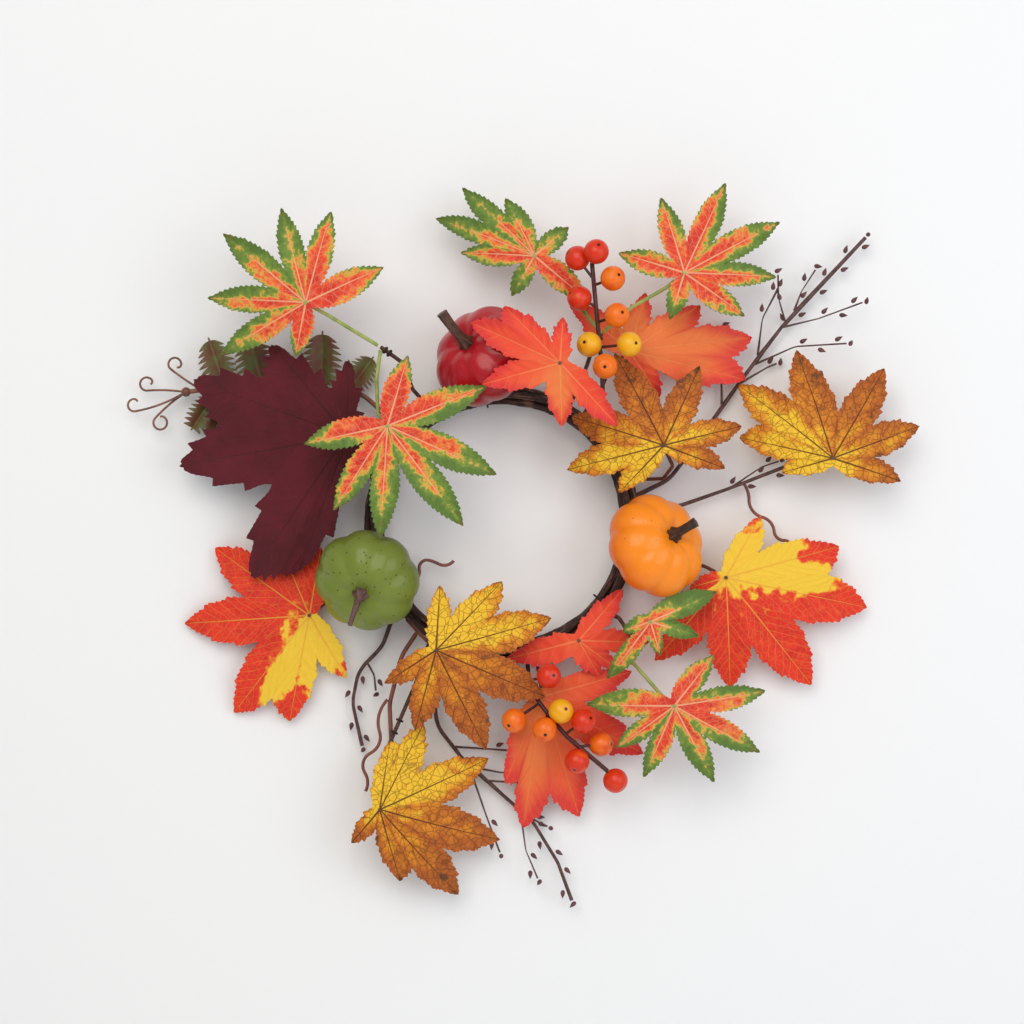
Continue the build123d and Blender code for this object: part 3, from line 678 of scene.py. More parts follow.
def blade_shape(x, z, along, share, length_share, seed, sizes, edge):
    """How far a place on the blade stands in front of its dome, in mm."""
    opening = min(1.0, length_share * 4)
    fold = sizes.fold / MM * (share ** 1.3 - MIDDLE_SHARE) * opening * (1 - length_share * 0.4)
    pleats = 0.22 * math.cos(2 * math.pi * (along / 6.3 - share * 0.4)) * share * (1 - share) * 4
    slow = noise.noise(Vector((x / 21, z / 21, seed * 7.1)))
    wave = slow * sizes.ruffle / MM * edge.waviness * opening
    fine = noise.noise(Vector((x / 7, z / 7, seed * 3.3 + 50))) * 0.35
    return fold + pleats + wave + fine + edge.curl * length_share ** 2.5


def half_lobe(side, tip, edge, outward):
    """The rungs of half a lobe: pairs of a place on its side and a distance along its midrib.
    The first rungs fan out from the hub to the notch."""
    length = float(np.hypot(*tip))
    side, side_length = spaced(side, edge.tooth / SAMPLES_PER_TOOTH)
    cut = toothed(side, side_length, edge, outward)
    notch = side[0]
    notch_along = max(0.5, float(notch @ tip / length) * 0.72)
    steps = len(side) - 1
    rungs = [(notch * n / HUB_RUNGS, notch_along * n / HUB_RUNGS) for n in range(HUB_RUNGS)]
    rungs += [(cut[n], notch_along + (length - notch_along) * n / steps) for n in range(steps + 1)]
    return rungs, notch_along


def leaf_blade(node_name, zones, sizes, seed, edge):
    """One die-cut blade: a toothed outline over a creased, ruffled dome."""
    hub, rim, dome = blade_form(node_name)
    tips, notches = corners(rim)
    rim = np.vstack([rim, rim[:1]])
    bearings, shades = zip(*sorted(zones))
    points, faces, blade, span, outline = [], [], [], [], []
    for number, tip_place in enumerate(tips):
        tip = rim[tip_place]
        length = float(np.hypot(*tip))
        for outward, notch_place in ((-1, notches[number]), (1, notches[number + 1])):
            low, high = sorted((notch_place, tip_place))
            rungs, notch_along = half_lobe(rim[low:high + 1][::-outward], tip, edge, outward)
            first = len(points)
            for place, along in rungs:
                on_midrib = tip / length * along
                half_width = float(np.hypot(*(place - on_midrib)))
                near_hub = max(0.0, 1 - along / notch_along)
                for share in np.linspace(0, 1, RUNGS_ACROSS + 1):
                    x, z = on_midrib + (place - on_midrib) * share
                    front = float(dome @ np.array([1, x, z, x * x, x * z, z * z]))
                    eased = share + (MIDDLE_SHARE - share) * near_hub
                    front += blade_shape(x, z, along, eased, along / length, seed, sizes, edge)
                    points.append((hub.x + x * MM, -front * MM, hub.z + z * MM))
                    bearing = math.degrees(math.atan2(z, x))
                    zone = float(np.interp(bearing, bearings, shades, period=360))
                    blade.append((along, share * half_width, zone))
                    span.append((along / length, share, (seed * 0.37 + number * 0.61) % 1))
            faces += strip(first, len(rungs), RUNGS_ACROSS + 1, turned=outward == 1)
            outline += [place for place, along in rungs[HUB_RUNGS:]][::-outward]
    piece = new_piece(f"{node_name}_cloth", points, faces, {"blade": blade, "span": span})
    weld(piece, NEAR_DOUBLE * MM, outward=False)
    outline = np.array(outline)
    following = np.roll(outline, -1, 0)
    area = abs((outline[:, 0] * following[:, 1] - outline[:, 1] * following[:, 0]).sum()) / 2
    return piece, float(area) * MM * MM, smallest_rectangle(outline)


def smallest_rectangle(outline):
    """Width and length of the smallest rectangle of cloth that the blade can be cut from."""
    best = None
    for degrees in range(0, 90, 3):
        turn = math.radians(degrees)
        across, up = math.cos(turn), math.sin(turn)
        turned = outline @ np.array([[across, -up], [up, across]])
        width, length = (float(side) * MM for side in turned.max(0) - turned.min(0))
        if best is None or width * length < best[0] * best[1]:
            best = (width, length)
    return best


class LeafMaker:
    """Shared by the operators that make the leaves. Each entry gives a blade's node, its
    stalk's, and the printed zone as (bearing in degrees, shade) pairs round the hub."""
    bl_options = {"REGISTER", "UNDO"}

    def make(self, context, entries, material, slot):
        sizes = context.scene.wreath_sizes
        for seed, (node_name, stalk_name, zones) in enumerate(entries):
            piece, area, flat = leaf_blade(node_name, zones, sizes, seed + len(node_name), EDGES[slot])
            apply_modifier(piece, "SOLIDIFY", thickness=sizes.blade_thickness, offset=1.0)
            weld(piece)
            stand_for(piece, node_name, material)


class WREATH_OT_variegated_leaves(LeafMaker, bpy.types.Operator):
    """Narrow-lobed leaves printed coral in the middle with green margins"""
    bl_idname = "wreath.variegated_leaves"
    bl_label = "Variegated Leaves"

    def execute(self, context):
        entries = [
            ("variegated_leaf_upper_left", "leaf_stalk_upper_left", [
                (25, 0.35), (75, 0.3), (105, -0.1), (132, -0.3), (150, 0.1), (170, -0.3), (182, 0.35),
                (200, -0.2), (215, 0.2), (258, 0.55)]),
            ("variegated_leaf_centre_left", "leaf_stalk_centre_left", [
                (74, 0.55), (22, 0.25), (12, -0.4), (345, 0.25), (328, -0.4), (312, 0.0), (290, -0.4),
                (266, -0.1), (245, 0.0), (232, 0.45), (198, -0.3), (188, 0.4)]),
            ("variegated_leaf_top", "leaf_stalk_top", [
                (-39, 0.4), (41, -0.2), (116, 0.0), (135, -0.1), (157, -0.2), (176, 0.3), (240, -0.3)]),
            ("variegated_leaf_upper_right", "leaf_stalk_upper_right", [
                (253, -0.1), (326, 0.45), (352, 0.3), (8, -0.3), (24, 0.0), (35, 0.3), (58, -0.2),
                (70, 0.6), (100, -0.1), (112, 0.5), (150, 0.1), (166, 0.4)]),
            ("variegated_leaf_lower_right", "leaf_stalk_lower_right", [
                (180, 0.1), (217, 0.25), (240, -0.4), (256, 0.5), (290, -0.4), (305, 0.3), (326, -0.3),
                (338, 0.5), (2, 0.4), (14, -0.3), (51, 0.45)]),
            ("variegated_leaf_right", "leaf_stalk_right", [
                (200, 0.0), (234, 0.1), (287, 0.2), (343, -0.3), (23, -0.4)]),
        ]
        self.make(context, entries, variegated_cloth(context.scene.wreath_colours), "variegated_fabric")
        return {"FINISHED"}


class WREATH_OT_golden_leaves(LeafMaker, bpy.types.Operator):
    """Golden maple leaves with brown margins and a dark net of veins"""
    bl_idname = "wreath.golden_leaves"
    bl_label = "Golden Leaves"

    def execute(self, context):
        entries = [
            ("golden_maple_upper_right", "maple_leaf_stalks", [
                (340, 0.25), (14, 0.12), (65, 0.32), (117, 0.42), (162, 0.15), (194, -0.15), (227, -0.2),
                (300, 0.05)]),
            ("golden_maple_far_right", "leaf_stalk_far_right", [
                (342, 0.2), (20, 0.12), (59, 0.35), (107, 0.3), (130, 0.1), (144, -0.15), (167, -0.1),
                (196, -0.35), (290, -0.4)]),
            ("golden_maple_lower_left", "maple_leaf_stalks", [
                (213, 0.25), (255, 0.2), (296, 0.35), (336, 0.35), (358, 0.2), (15, -0.1), (46, -0.25),
                (87, -0.35), (150, -0.1)]),
            ("golden_maple_bottom", "leaf_stalk_bottom", [
                (230, 0.25), (285, 0.25), (311, 0.38), (344, 0.3), (8, 0.1), (24, -0.12), (63, -0.3),
                (82, -0.35), (150, -0.2)]),
        ]
        self.make(context, entries, golden_cloth(context.scene.wreath_colours), "golden_fabric")
        return {"FINISHED"}


class WREATH_OT_scarlet_leaves(LeafMaker, bpy.types.Operator):
    """Scarlet maple leaves with a yellow zone"""
    bl_idname = "wreath.scarlet_leaves"
    bl_label = "Scarlet Leaves"

    def execute(self, context):
        entries = [
            ("scarlet_maple_left", "maple_leaf_stalks", [
                (81, -0.1), (184, 0.0), (215, 0.1), (231, 0.25), (237, 0.9), (256, 0.9), (259, 0.55),
                (266, 0.8), (300, 1.3), (340, 0.7), (20, 0.0)]),
            ("scarlet_maple_right", "maple_leaf_stalks", [
                (196, 0.05), (300, 0.1), (335, 0.15), (348, 0.5), (354, 0.8), (8, 1.0), (14, 0.7),
                (20, 0.9), (40, 1.2), (58, 1.2), (68, 1.0), (100, 0.7), (140, 0.2)]),
        ]
        self.make(context, entries, scarlet_cloth(context.scene.wreath_colours), "scarlet_fabric")
        return {"FINISHED"}


class WREATH_OT_burgundy_leaf(LeafMaker, bpy.types.Operator):
    """The large burgundy maple leaf"""
    bl_idname = "wreath.burgundy_leaf"
    bl_label = "Burgundy Leaf"

    def execute(self, context):
        entries = [("burgundy_maple", "maple_leaf_stalks", [(0, 0.0), (100, 0.4), (200, 0.1)])]
        self.make(context, entries, burgundy_cloth(context.scene.wreath_colours), "burgundy_fabric")
        return {"FINISHED"}


class WREATH_OT_coral_leaves(LeafMaker, bpy.types.Operator):
    """Coral maple leaves, orange towards the hub"""
    bl_idname = "wreath.coral_leaves"
    bl_label = "Coral Leaves"

    def execute(self, context):
        entries = [
            ("coral_maple_top", "coral_leaf_stalks", [
                (86, 0.3), (134, 0.2), (155, 0.3), (195, 0.4), (272, 0.9), (313, 0.25)]),
            ("coral_maple_upper_right", "coral_leaf_stalks", [
                (304, 0.3), (347, 0.7), (7, 0.9), (33, 1.0), (74, 0.9), (140, 0.6)]),
            ("coral_maple_lower", "coral_leaf_stalks", [
                (195, 0.2), (300, 0.3), (323, 0.2), (358, 0.0), (49, 0.0)]),
            ("coral_maple_bottom", "coral_leaf_stalks", [
                (247, 0.7), (262, 0.8), (287, 0.6), (330, 0.2), (15, 0.5)]),
        ]
        self.make(context, entries, coral_cloth(context.scene.wreath_colours), "coral_fabric")
        return {"FINISHED"}


class WREATH_OT_stalks(bpy.types.Operator):
    """Moulded leaf stalks"""
    bl_idname = "wreath.stalks"
    bl_label = "Leaf Stalks"

    def execute(self, context):
        green = moulded_plastic("moulded polyethylene green stalk", "A3AE58", "7E9440", 0.45, 6.0, 1.2)
        brown = moulded_plastic("moulded polyethylene brown stalk", "6E3A28", "4A241C", 0.5, 6.0, 1.2)
        finish_nodes(green, "leaf_stalk_upper_left", "leaf_stalk_centre_left", "leaf_stalk_top",
                     "leaf_stalk_upper_right", "leaf_stalk_lower_right", "leaf_stalk_right")
        finish_nodes(brown, "leaf_stalk_far_right", "leaf_stalk_bottom", "maple_leaf_stalks",
                     "coral_leaf_stalks")
        return {"FINISHED"}


# ---------------------------------------------------------------- ring

STRANDS = 4
STRAND_RADIUS = 2.0      # mm, as in the frame
STRAND_ROUNDS = 420      # steps round the ring
STRAND_SIDES = 16


class WREATH_OT_ring(bpy.types.Operator):
    """The vine ring, its hoop, binding wires, stubs and knots"""
    bl_idname = "wreath.ring"
    bl_label = "Vine Ring"
    bl_options = {"REGISTER", "UNDO"}

    def execute(self, context):
        relief = context.scene.wreath_sizes.bark_relief
        bark = vine_bark(context.scene.wreath_colours)
        for number in range(1, STRANDS + 1):
            self.strand(number, relief, bark)
        finish_nodes(drawn_wire("drawn steel hoop", "6A6560", 1.0, 0.45), "core_hoop")
        finish_nodes(drawn_wire("lacquered florist wire", "3A2A22", 0.6, 0.5),
                     "binding_wires", "knot_wires")
        finish_nodes(moulded_plastic("wound florist tape", "5A3A2A", "3E261C", 0.6, 3.0, 0.9),
                     "pick_stubs")
        return {"FINISHED"}

    def strand(self, number, relief, bark):
        """A strand is a circle through its CAD solid, thickened unevenly like dried vine."""
        node_name = f"vine_strand_{number}"
        copy = merged(node_name)
        inner = [v.co - v.normal * STRAND_RADIUS * MM for v in copy.verts]
        copy.free()
        spine = middle_of(inner)
        flat = np.array([p - spine for p in inner])
        axes = np.linalg.svd(flat, full_matrices=False)[2]
        normal = Vector(axes[2])
        radius = float(np.hypot(*(flat @ axes[:2].T).T).mean())
        turned = normal.to_track_quat("Z", "Y").to_matrix()
        points, faces, blade, span = [], [], [], []
        for step in range(STRAND_ROUNDS):
            turn = 2 * math.pi * step / STRAND_ROUNDS
            bearing = Vector((math.cos(turn), math.sin(turn), 0))
            outward = turned @ bearing
            for side in range(STRAND_SIDES):
                roll = 2 * math.pi * side / STRAND_SIDES
                away = outward * math.cos(roll) + normal * math.sin(roll)
                twist = Vector((math.cos(roll + turn * 9), math.sin(roll + turn * 9), 0))
                ridge = noise.noise(bearing * 7 + Vector((0, number * 9, 0)) + twist * 1.6)
                knots = noise.noise(bearing * 3 + Vector((0, 0, number * 5)))
                reach = STRAND_RADIUS * MM * (0.92 + 0.08 * knots) + relief * ridge
                points.append(spine + outward * radius + away * reach)
                blade.append((turn * radius / MM, roll / (2 * math.pi) * 6, 0))
                span.append((0, 0, number))
        for step in range(STRAND_ROUNDS):
            for side in range(STRAND_SIDES):
                here, after = step * STRAND_SIDES, (step + 1) % STRAND_ROUNDS * STRAND_SIDES
                beside = (side + 1) % STRAND_SIDES
                faces.append((here + side, here + beside, after + beside, after + side))
        piece = new_piece(f"{node_name}_bark", points, faces, {"blade": blade, "span": span})
        weld(piece)
        stand_for(piece, node_name, bark)


# ---------------------------------------------------------------- pumpkins

PUMPKIN_RADIUS = 26.2    # mm, over the ribs
PUMPKIN_HEIGHT = 0.72    # of its width
RIB_ANGLE = 45
STEM_REACH = 5.3         # mm: the stem's points this near its furthest one are its tip
STEM_THICKNESS = 2.1     # mm, half across, where it leaves the neck
PROPORTIONAL = {"use_proportional_edit": True, "proportional_edit_falloff": "SMOOTH"}


def pumpkin_seat(colour):
    """Centre and stem direction of a pumpkin, and the foot and tip of its stem."""
    low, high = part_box(f"{colour}_pumpkin")
    centre = (low + high) / 2
    stem = [v.co for v in NODES[f"{colour}_pumpkin_stem"].data.vertices]
    near = min((p - centre).length for p in stem)
    foot = middle_of([p for p in stem if (p - centre).length < near + 0.8 * MM])
    far = max(stem, key=lambda p: (p - foot).length)
    tip = middle_of([p for p in stem if (p - far).length < STEM_REACH * MM])
    return centre, (foot - centre).normalized(), foot, tip


def select_places(piece, test):
    """Selects, in edit mode, the vertices that pass a test."""
    bpy.ops.object.mode_set(mode="EDIT")
    bpy.ops.mesh.select_mode(type="VERT")
    bpy.ops.mesh.select_all(action="DESELECT")
    copy = bmesh.from_edit_mesh(piece.data)
    for vertex in copy.verts:
        vertex.select = test(vertex.co)
    copy.select_flush(True)
    bmesh.update_edit_mesh(piece.data)


class WREATH_OT_pumpkins(bpy.types.Operator):
    """Ribbed foam pumpkins with moulded stems"""
    bl_idname = "wreath.pumpkins"
    bl_label = "Pumpkins"
    bl_options = {"REGISTER", "UNDO"}

    def execute(self, context):
        colours, sizes = context.scene.wreath_colours, context.scene.wreath_sizes
        # The foam's paint, then the stem's two tones and its half thickness at the tip in mm.
        finishes = {
            "red": (FoamPaint(colours.red_pumpkin, "84040F", "5E050C", 0.30, 0.30, 2.4),
                    "5A3A28", "3E261A", 2.3),
            "orange": (FoamPaint(colours.orange_pumpkin, "EA5C08", "A8541A", 0.42, 0.38, 1.8),
                       "46281A", "2C1810", 2.2),
            "green": (FoamPaint(colours.green_pumpkin, "4E5818", "2E3010", 0.62, 0.44, 1.5),
                      "6B4A45", "4E3430", 0.8),
        }
        for colour, (paint, stem_tone, dark_tone, stem_end) in finishes.items():
            centre, axis, foot, tip = pumpkin_seat(colour)
            body = self.body(colour, centre, axis, sizes)
            foam = painted_foam(f"lacquered foam {colour} pumpkin", paint, centre, axis)
            stand_for(body, f"{colour}_pumpkin", foam)
            plastic = moulded_plastic(
                f"moulded polyethylene {colour} pumpkin stem", stem_tone, dark_tone, 0.5, 2.5, 0.7)
            stand_for(self.stem(colour, axis, foot, tip, stem_end), f"{colour}_pumpkin_stem", plastic)
        finish_nodes(drawn_wire("drawn steel pick wire", "6A6560", 1.0, 0.45),
                     *[f"{colour}_pumpkin_pick" for colour in finishes])
        return {"FINISHED"}

    def body(self, colour, centre, axis, sizes):
        """A sphere flattened, grooved between its ribs and sunk in at both poles."""
        bpy.ops.object.select_all(action="DESELECT")
        bpy.ops.mesh.primitive_uv_sphere_add(segments=48, ring_count=26, radius=PUMPKIN_RADIUS * MM)
        piece = bpy.context.object
        piece.name = f"{colour}_pumpkin_foam"
        select_places(piece, lambda p: True)
        bpy.ops.transform.resize(value=(1, 1, PUMPKIN_HEIGHT), center_override=(0, 0, 0))

        def in_groove(p):
            turn = math.degrees(math.atan2(p.y, p.x)) % RIB_ANGLE
            return math.hypot(p.x, p.y) > 2 * MM and min(turn, RIB_ANGLE - turn) < 1

        select_places(piece, in_groove)
        groove = 1 - sizes.rib_depth / (PUMPKIN_RADIUS * MM)
        bpy.ops.transform.resize(
            value=(groove, groove, 0.95), center_override=(0, 0, 0), use_proportional_edit=True,
            proportional_edit_falloff="SHARP", proportional_size=8 * MM, use_proportional_connected=True)
        for pole in (1, -1):
            select_places(piece, lambda p: math.hypot(p.x, p.y) < 2.6 * MM and p.z * pole > 0)
            bpy.ops.transform.translate(
                value=(0, 0, -4.6 * MM * pole), proportional_size=13 * MM, **PROPORTIONAL)
        bpy.ops.object.mode_set(mode="OBJECT")
        apply_modifier(piece, "SUBSURF", levels=2, render_levels=2)
        across = Vector((0, 1, 0)).cross(axis).normalized()
        turned = Matrix((across, axis.cross(across), axis)).transposed().to_4x4()
        piece.matrix_world = Matrix.Translation(centre) @ turned
        only_select(piece)
        bpy.ops.object.transform_apply(location=True, rotation=True, scale=True)
        return piece

    def stem(self, colour, axis, foot, tip, end):
        """A ridged stalk: flared where it leaves the neck, bent and cut off at its tip."""
        bend = foot + axis * 9.5 * MM
        steps, sides = 26, 36
        points, faces = [], []
        ahead, across = axis, axis.orthogonal().normalized()
        for step in range(steps + 1):
            share = step / steps
            place = foot * (1 - share) ** 2 + bend * 2 * share * (1 - share) + tip * share ** 2
            ahead = ((bend - foot) * (1 - share) + (tip - bend) * share).normalized()
            across = (across - ahead * across.dot(ahead)).normalized()
            other = ahead.cross(across)
            flare = 1.9 * math.exp(-((share - 0.08) / 0.17) ** 2)
            taper = STEM_THICKNESS + (end - STEM_THICKNESS) * share
            reach = (taper + flare + 0.3 * share ** 8) * MM
            for side in range(sides):
                turn = 2 * math.pi * side / sides
                ridge = 1 + (0.11 + 0.07 * flare) * math.cos(turn * 6 + share * 1.5)
                points.append(place + (across * math.cos(turn) + other * math.sin(turn)) * reach * ridge)
        for step in range(steps):
            for side in range(sides):
                a, b = step * sides + side, step * sides + (side + 1) % sides
                faces.append((a, b, b + sides, a + sides))
        faces += [tuple(range(sides))[::-1], tuple(steps * sides + side for side in range(sides))]
        piece = new_piece(f"{colour}_pumpkin_stalk", points, faces)
        weld(piece)
        return piece


# ---------------------------------------------------------------- berries, twigs, tendrils

BEAD_RADIUS = 6.1        # mm
STALK_NEAR = 5.5         # mm: a stem's points between these distances are the bead's stalk
STALK_FAR = 8.5


class WREATH_OT_berries(bpy.types.Operator):
    """Lacquered berries on dark moulded stems"""
    bl_idname = "wreath.berries"
    bl_label = "Berries"
    bl_options = {"REGISTER", "UNDO"}

    def execute(self, context):
        lacquer = berry_lacquer()
        tints = {"upper": (0.0, 0.05, 0.45, 0.15, 0.5, 0.95, 0.85, 0.5),
                 "lower": (0.0, 0.9, 0.45, 0.05, 0.4, 0.4, 0.15, 0.1)}
        for where, ripeness in tints.items():
            self.cluster(where, ripeness, lacquer)
        stems = moulded_plastic("moulded polyethylene berry stem", "4E1616", "360D0D", 0.4, 5.0, 1.0)
        finish_nodes(stems, "upper_berry_stem", "lower_berry_stem")
        return {"FINISHED"}

    def cluster(self, where, ripeness, lacquer):
        """A pick's beads, the highest first, each with its eye away from the stem."""
        centres = sorted(shell_middles(f"{where}_berries"), key=lambda p: -p.z)
        stem = [v.co for v in NODES[f"{where}_berry_stem"].data.vertices]
        beads = []
        for number, centre in enumerate(centres):
            near = [p for p in stem if STALK_NEAR * MM < (p - centre).length < STALK_FAR * MM]
            if not near:
                near = [min(stem, key=lambda p: (p - centre).length)]
            away = (centre - middle_of(near)).normalized()
            beads.append(self.bead(number, centre, away, ripeness[number]))
        only_select(*beads)
        bpy.ops.object.join()
        beads[0].name = f"{where}_berry_beads"
        stand_for(beads[0], f"{where}_berries", lacquer)

    def bead(self, number, centre, away, ripeness):
        """A sphere with a small sunk eye at the end away from its stalk."""
        bpy.ops.object.select_all(action="DESELECT")
        bpy.ops.mesh.primitive_uv_sphere_add(segments=36, ring_count=24, radius=BEAD_RADIUS * MM)
        piece = bpy.context.object
        select_places(piece, lambda p: p.z > 6.0 * MM)
        bpy.ops.transform.translate(value=(0, 0, -0.5 * MM), proportional_size=1.6 * MM, **PROPORTIONAL)
        bpy.ops.object.mode_set(mode="OBJECT")
        store = piece.data.attributes.new("blade", "FLOAT_VECTOR", "POINT")
        for vertex, value in zip(piece.data.vertices, store.data):
            value.vector = (ripeness, vertex.co.normalized().z, number)
        lean = (away + Vector((0, -0.6, 0))).normalized()
        piece.matrix_world = Matrix.Translation(centre) @ lean.to_track_quat("Z", "Y").to_matrix().to_4x4()
        only_select(piece)
        bpy.ops.object.transform_apply(location=True, rotation=True, scale=True)
        return piece


# A bud's profile in mm: along it and out from its middle.
BUD_PROFILE = ((-1.3, 0.0), (-1.1, 0.6), (-0.4, 1.1), (0.5, 1.15), (1.5, 0.8), (2.5, 0.3), (3.1, 0.0))
BUD_SIDES = 8


class WREATH_OT_twigs(bpy.types.Operator):
    """Budded twigs"""
    bl_idname = "wreath.twigs"
    bl_label = "Twigs and Buds"
    bl_options = {"REGISTER", "UNDO"}

    def execute(self, context):
        twig = moulded_plastic("moulded polyethylene twig", "5E3A34", "3C2220", 0.5, 3.0, 0.8)
        bud = moulded_plastic("moulded polyethylene bud", "6A3A38", "47262A", 0.42, 2.0, 0.8)
        for where in ("upper", "lower", "side"):
            self.buds(where, bud)
            self.shoots(where, twig)
        return {"FINISHED"}

    def shoots(self, where, finish):
        """The twigs thin out towards their ends."""
        ring_centre, ring_radius = ring_of_hoop()
        copy = merged(f"{where}_twigs")
        places = [vertex.co.copy() for vertex in copy.verts]
        reach = max((place - ring_centre).length for place in places) - ring_radius
        for vertex, place in zip(copy.verts, places):
            share = max(0.0, (place - ring_centre).length - ring_radius) / reach
            knobs = 0.12 * noise.noise(place / MM / 3)
            shaved = 0.15 + 0.32 * min(1.0, share * 1.5) + knobs
            vertex.co = place - vertex.normal * shaved * MM
        piece = new_piece(f"{where}_twig_shoots", [v.co for v in copy.verts],
                          [[v.index for v in face.verts] for face in copy.faces])
        copy.free()
        stand_for(piece, f"{where}_twigs", finish)

    def buds(self, where, finish):
        """Teardrop buds that point along the shoot they stand on."""
        shoots = merged(f"{where}_twigs")
        shoots.faces.ensure_lookup_table()
        tree = BVHTree.FromBMesh(shoots)
        ring_centre = ring_of_hoop()[0]
        points, faces = [], []
        for centre in shell_middles(f"{where}_buds"):
            foot, _, face_number, _ = tree.find_nearest(centre)
            longest = max(shoots.faces[face_number].edges, key=lambda e: e.calc_length())
            along = (longest.verts[1].co - longest.verts[0].co).normalized()
            if along.dot(centre - ring_centre) < 0:
                along = -along
            away = (centre - foot).normalized()
            aim = (along + away * 0.45).normalized()
            self.teardrop(points, faces, centre - aim * 0.5 * MM, aim)
        shoots.free()
        piece = new_piece(f"{where}_bud_drops", points, faces)
        weld(piece)
        stand_for(piece, f"{where}_buds", finish)

    def teardrop(self, points, faces, base, aim):
        """A bud turned from its profile, closed by one point at each end."""
        across = aim.orthogonal().normalized()
        other = aim.cross(across)
        rows = []
        for along, reach in BUD_PROFILE:
            row = []
            for side in range(BUD_SIDES if reach else 1):
                turn = 2 * math.pi * side / BUD_SIDES
                points.append(base + aim * along * MM + (
                    across * math.cos(turn) + other * math.sin(turn)) * reach * MM)
                row.append(len(points) - 1)
            rows.append(row)
        for first, second in zip(rows, rows[1:]):
            for side in range(BUD_SIDES):
                here, there = side, (side + 1) % BUD_SIDES
                if len(first) == 1:
                    faces.append((first[0], second[there], second[here]))
                elif len(second) == 1:
                    faces.append((first[here], first[there], second[0]))
                else:
                    faces.append((first[here], first[there], second[there], second[here]))


class WREATH_OT_tendrils(bpy.types.Operator):
    """Curling tendrils"""
    bl_idname = "wreath.tendrils"
    bl_label = "Tendrils"

    def execute(self, context):
        smooth = moulded_plastic("moulded polyethylene tendril", "8A4E3E", "6A3A32", 0.42, 9.0, 1.5)
        finish_nodes(smooth, "left_tendrils", "right_tendril")
        return {"FINISHED"}


FINGERS = 8              # on each side of a leaflet
FINGER_STEPS = 6
RIB_STEPS = 8
COMB_LIFT = 2.8          # mm that the fingers cup towards the front


class WREATH_OT_fern(bpy.types.Operator):
    """The fern sprig: combed leaflets and curled tips"""
    bl_idname = "wreath.fern"
    bl_label = "Fern"
    bl_options = {"REGISTER", "UNDO"}

    def execute(self, context):
        stem = moulded_plastic("moulded polyethylene fern stem", "8A5A44", "6A4234", 0.5, 6.0, 1.0)
        finish_nodes(stem, "fern_stem")
        leaf = moulded_plastic("moulded polyethylene fern leaflet", "6A3C24", "5E6830", 0.5, 6.0, 0.9)
        copy = merged("fern_leaflets")
        shells = [[v.co.copy() for v in shell] for shell in islands(copy)]
        copy.free()
        points, faces = [], []
        for shell in shells:
            self.leaflet(points, faces, shell)
        piece = new_piece("fern_leaflet_combs", points, faces)
        apply_modifier(piece, "SOLIDIFY", thickness=0.7 * MM, offset=0.0)
        weld(piece)
        stand_for(piece, "fern_leaflets", leaf)
        return {"FINISHED"}

    def leaflet(self, points, faces, shell):
        """A rib with curved fingers on both sides, in the oval of its CAD plate."""
        centre = middle_of(shell)
        flat = np.array([((p.x - centre.x) / MM, (p.z - centre.z) / MM) for p in shell])
        axes = np.linalg.svd(flat - flat.mean(0), full_matrices=False)[2]
        if axes[0][1] * flat.mean() < 0:
            axes[0] = -axes[0]
        half_length = np.abs(flat @ axes[0]).max()
        half_width = np.abs(flat @ axes[1]).max() * 1.2
        for side in (-1, 1):
            for number in range(FINGERS):
                start = -0.86 + 1.72 * (number + 0.5) / FINGERS
                oval = math.sqrt(max(0.05, 1 - (start * 0.95) ** 2))
                cup = COMB_LIFT * (1 - 0.3 * abs(start))
                root = len(points)
                for share in np.linspace(0, 1, FINGER_STEPS + 1):
                    out = side * share * half_width * oval * axes[1]
                    forward = (start + 0.16 * share ** 1.6) * half_length
                    pointed = 1.0 - 0.9 * max(0.0, (share - 0.3) / 0.7) ** 1.5
                    width = pointed * half_length * 0.98 / FINGERS
                    for edge in (-1, 1):
                        a = (forward + edge * width) * axes[0] + out
                        points.append(centre + Vector((a[0], -cup * math.sin(share * 2.3), a[1])) * MM)
                faces += strip(root, FINGER_STEPS + 1, 2, turned=True)
        root = len(points)
        for share in np.linspace(-1, 1, RIB_STEPS + 1):
            for edge in (-1, 1):
                a = share * half_length * axes[0] + edge * (0.9 - 0.5 * abs(share)) * axes[1]
                points.append(centre + Vector((a[0], -0.4, a[1])) * MM)
        faces += strip(root, RIB_STEPS + 1, 2, turned=True)


# ---------------------------------------------------------------- stage

WALL_GAP = 0.002         # metres behind the wreath
FLOOR_DROP = 0.55        # metres below it
SHEET_SIZE = 3.0
KEY_PLACE = Vector((-0.25, -1.35, 0.65))
FILL_PLACE = Vector((0.8, -0.9, 0.1))
FILL_SHARE = 0.35        # of the key light's power
CAMERA_SHIFT = (0.005, 0.0055)   # metres right of and above the ring's centre


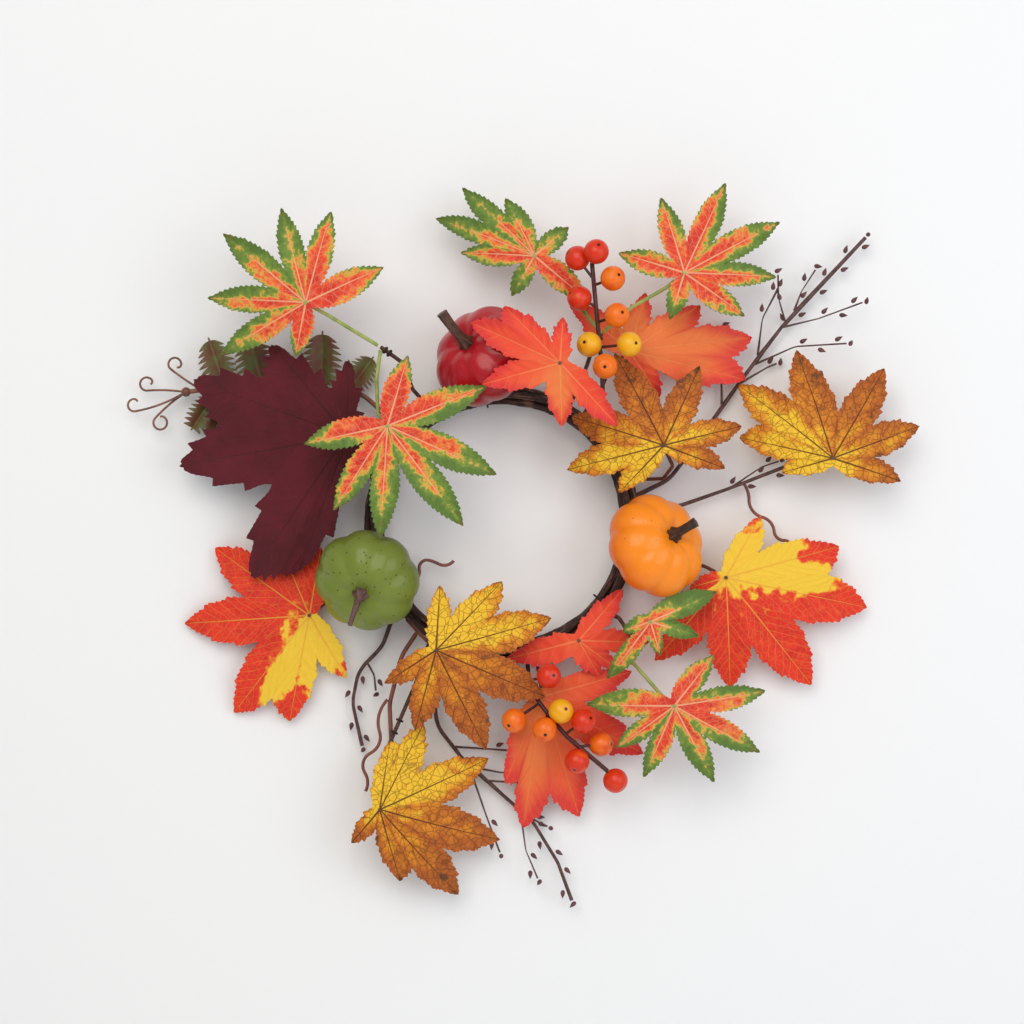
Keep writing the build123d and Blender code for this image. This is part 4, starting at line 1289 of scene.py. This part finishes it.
class WREATH_OT_stage(bpy.types.Operator):
    """Wall, floor, soft studio light and the camera"""
    bl_idname = "wreath.stage"
    bl_label = "Stage"
    bl_options = {"REGISTER", "UNDO"}

    def execute(self, context):
        stage = context.scene.wreath_stage
        low, high = CAD_BOX
        centre = ring_of_hoop()[0]
        wall = self.sheet_of("wall", centre, high.y + WALL_GAP, True)
        floor = self.sheet_of("floor", centre, low.z - FLOOR_DROP, False)
        world = bpy.data.worlds.new("even light")
        context.scene.world = world
        world.use_nodes = True
        world.node_tree.nodes["Background"].inputs[0].default_value = hex_colour("F4F7FA")
        world.node_tree.nodes["Background"].inputs[1].default_value = stage.sky
        self.light("key", centre + KEY_PLACE, centre, 1.1, stage.key_power, "FFF8F0")
        self.light("fill", centre + FILL_PLACE, centre, 0.8, stage.key_power * FILL_SHARE, "F2F6FF")
        camera = bpy.data.cameras.new("camera")
        camera.lens = stage.lens
        eye = bpy.data.objects.new("camera", camera)
        context.scene.collection.objects.link(eye)
        eye.location = centre + Vector((CAMERA_SHIFT[0], -stage.distance, CAMERA_SHIFT[1]))
        eye.rotation_euler = (math.pi / 2, 0, 0)
        context.scene.camera = eye
        context.scene.view_settings.view_transform = "Standard"
        return {"FINISHED"}

    def light(self, name, place, target, size, power, code):
        """A square soft light that faces the target."""
        lamp = bpy.data.lights.new(name, "AREA")
        lamp.energy, lamp.size = power, size
        lamp.color = hex_colour(code)[:3]
        holder = bpy.data.objects.new(name, lamp)
        bpy.context.scene.collection.objects.link(holder)
        holder.location = place
        holder.rotation_euler = (target - place).to_track_quat("-Z", "Y").to_euler()

    def sheet_of(self, name, centre, place, upright):
        """A large plain plane. The wall is seen only from the front."""
        bpy.ops.object.select_all(action="DESELECT")
        bpy.ops.mesh.primitive_plane_add(size=SHEET_SIZE)
        piece = bpy.context.object
        piece.name = name
        if upright:
            piece.matrix_world = Matrix.Translation((centre.x, place, centre.z)) @ Matrix.Rotation(
                math.radians(90), 4, "X")
        else:
            piece.matrix_world = Matrix.Translation((centre.x, centre.y, place))
        bpy.ops.object.transform_apply(location=True, rotation=True, scale=True)
        material, tree, shader, millimetres = new_material(f"matt emulsion {name}")
        tint = mix_colour(tree, cloudy(tree, millimetres, 400.0), hex_colour("EFF1F3"), hex_colour("F4F4F3"))
        skin(tree, shader, tint, cloudy(tree, millimetres, 3.0), 0.08, 0.2)
        shader.inputs["Roughness"].default_value = 0.9
        if upright:
            back = add_node(tree, "ShaderNodeNewGeometry").outputs["Backfacing"]
            clear = add_node(tree, "ShaderNodeBsdfTransparent").outputs[0]
            seen = add_node(tree, "ShaderNodeMixShader", {0: back, 1: shader.outputs[0], 2: clear})
            output = next(n for n in tree.nodes if n.bl_idname == "ShaderNodeOutputMaterial")
            tree.links.new(seen.outputs[0], output.inputs["Surface"])
        piece.data.materials.append(material)
        return piece


PIECES = (
    WREATH_OT_ring, WREATH_OT_variegated_leaves, WREATH_OT_golden_leaves, WREATH_OT_scarlet_leaves,
    WREATH_OT_burgundy_leaf, WREATH_OT_coral_leaves, WREATH_OT_stalks, WREATH_OT_pumpkins,
    WREATH_OT_berries, WREATH_OT_twigs, WREATH_OT_tendrils, WREATH_OT_fern, WREATH_OT_stage)


class WREATH_PT_panel(bpy.types.Panel):
    """Lists the wreath's sizes, colours and pieces"""
    bl_idname = "WREATH_PT_panel"
    bl_label = "Harvest Door Wreath"
    bl_space_type = "VIEW_3D"
    bl_region_type = "UI"
    bl_category = "Wreath"

    def draw(self, context):
        for group in (context.scene.wreath_sizes, context.scene.wreath_colours, context.scene.wreath_stage):
            box = self.layout.box()
            for name in group.__annotations__:
                box.prop(group, name)
        for piece in PIECES:
            self.layout.operator(piece.bl_idname)


GROUPS = {"wreath_sizes": WreathSizes, "wreath_colours": WreathColours, "wreath_stage": WreathStage}


def register():
    for name, group in GROUPS.items():
        bpy.utils.register_class(group)
        setattr(bpy.types.Scene, name, PointerProperty(type=group))
    for made in (*PIECES, WREATH_PT_panel):
        bpy.utils.register_class(made)


def unregister():
    for made in (WREATH_PT_panel, *reversed(PIECES)):
        bpy.utils.unregister_class(made)
    for name, group in GROUPS.items():
        delattr(bpy.types.Scene, name)
        bpy.utils.unregister_class(group)


def main():
    """Builds every piece through its operator."""
    register()
    for piece in PIECES:
        group, name = piece.bl_idname.split(".")
        getattr(getattr(bpy.ops, group), name)()


if __name__ == "__main__":
    main()
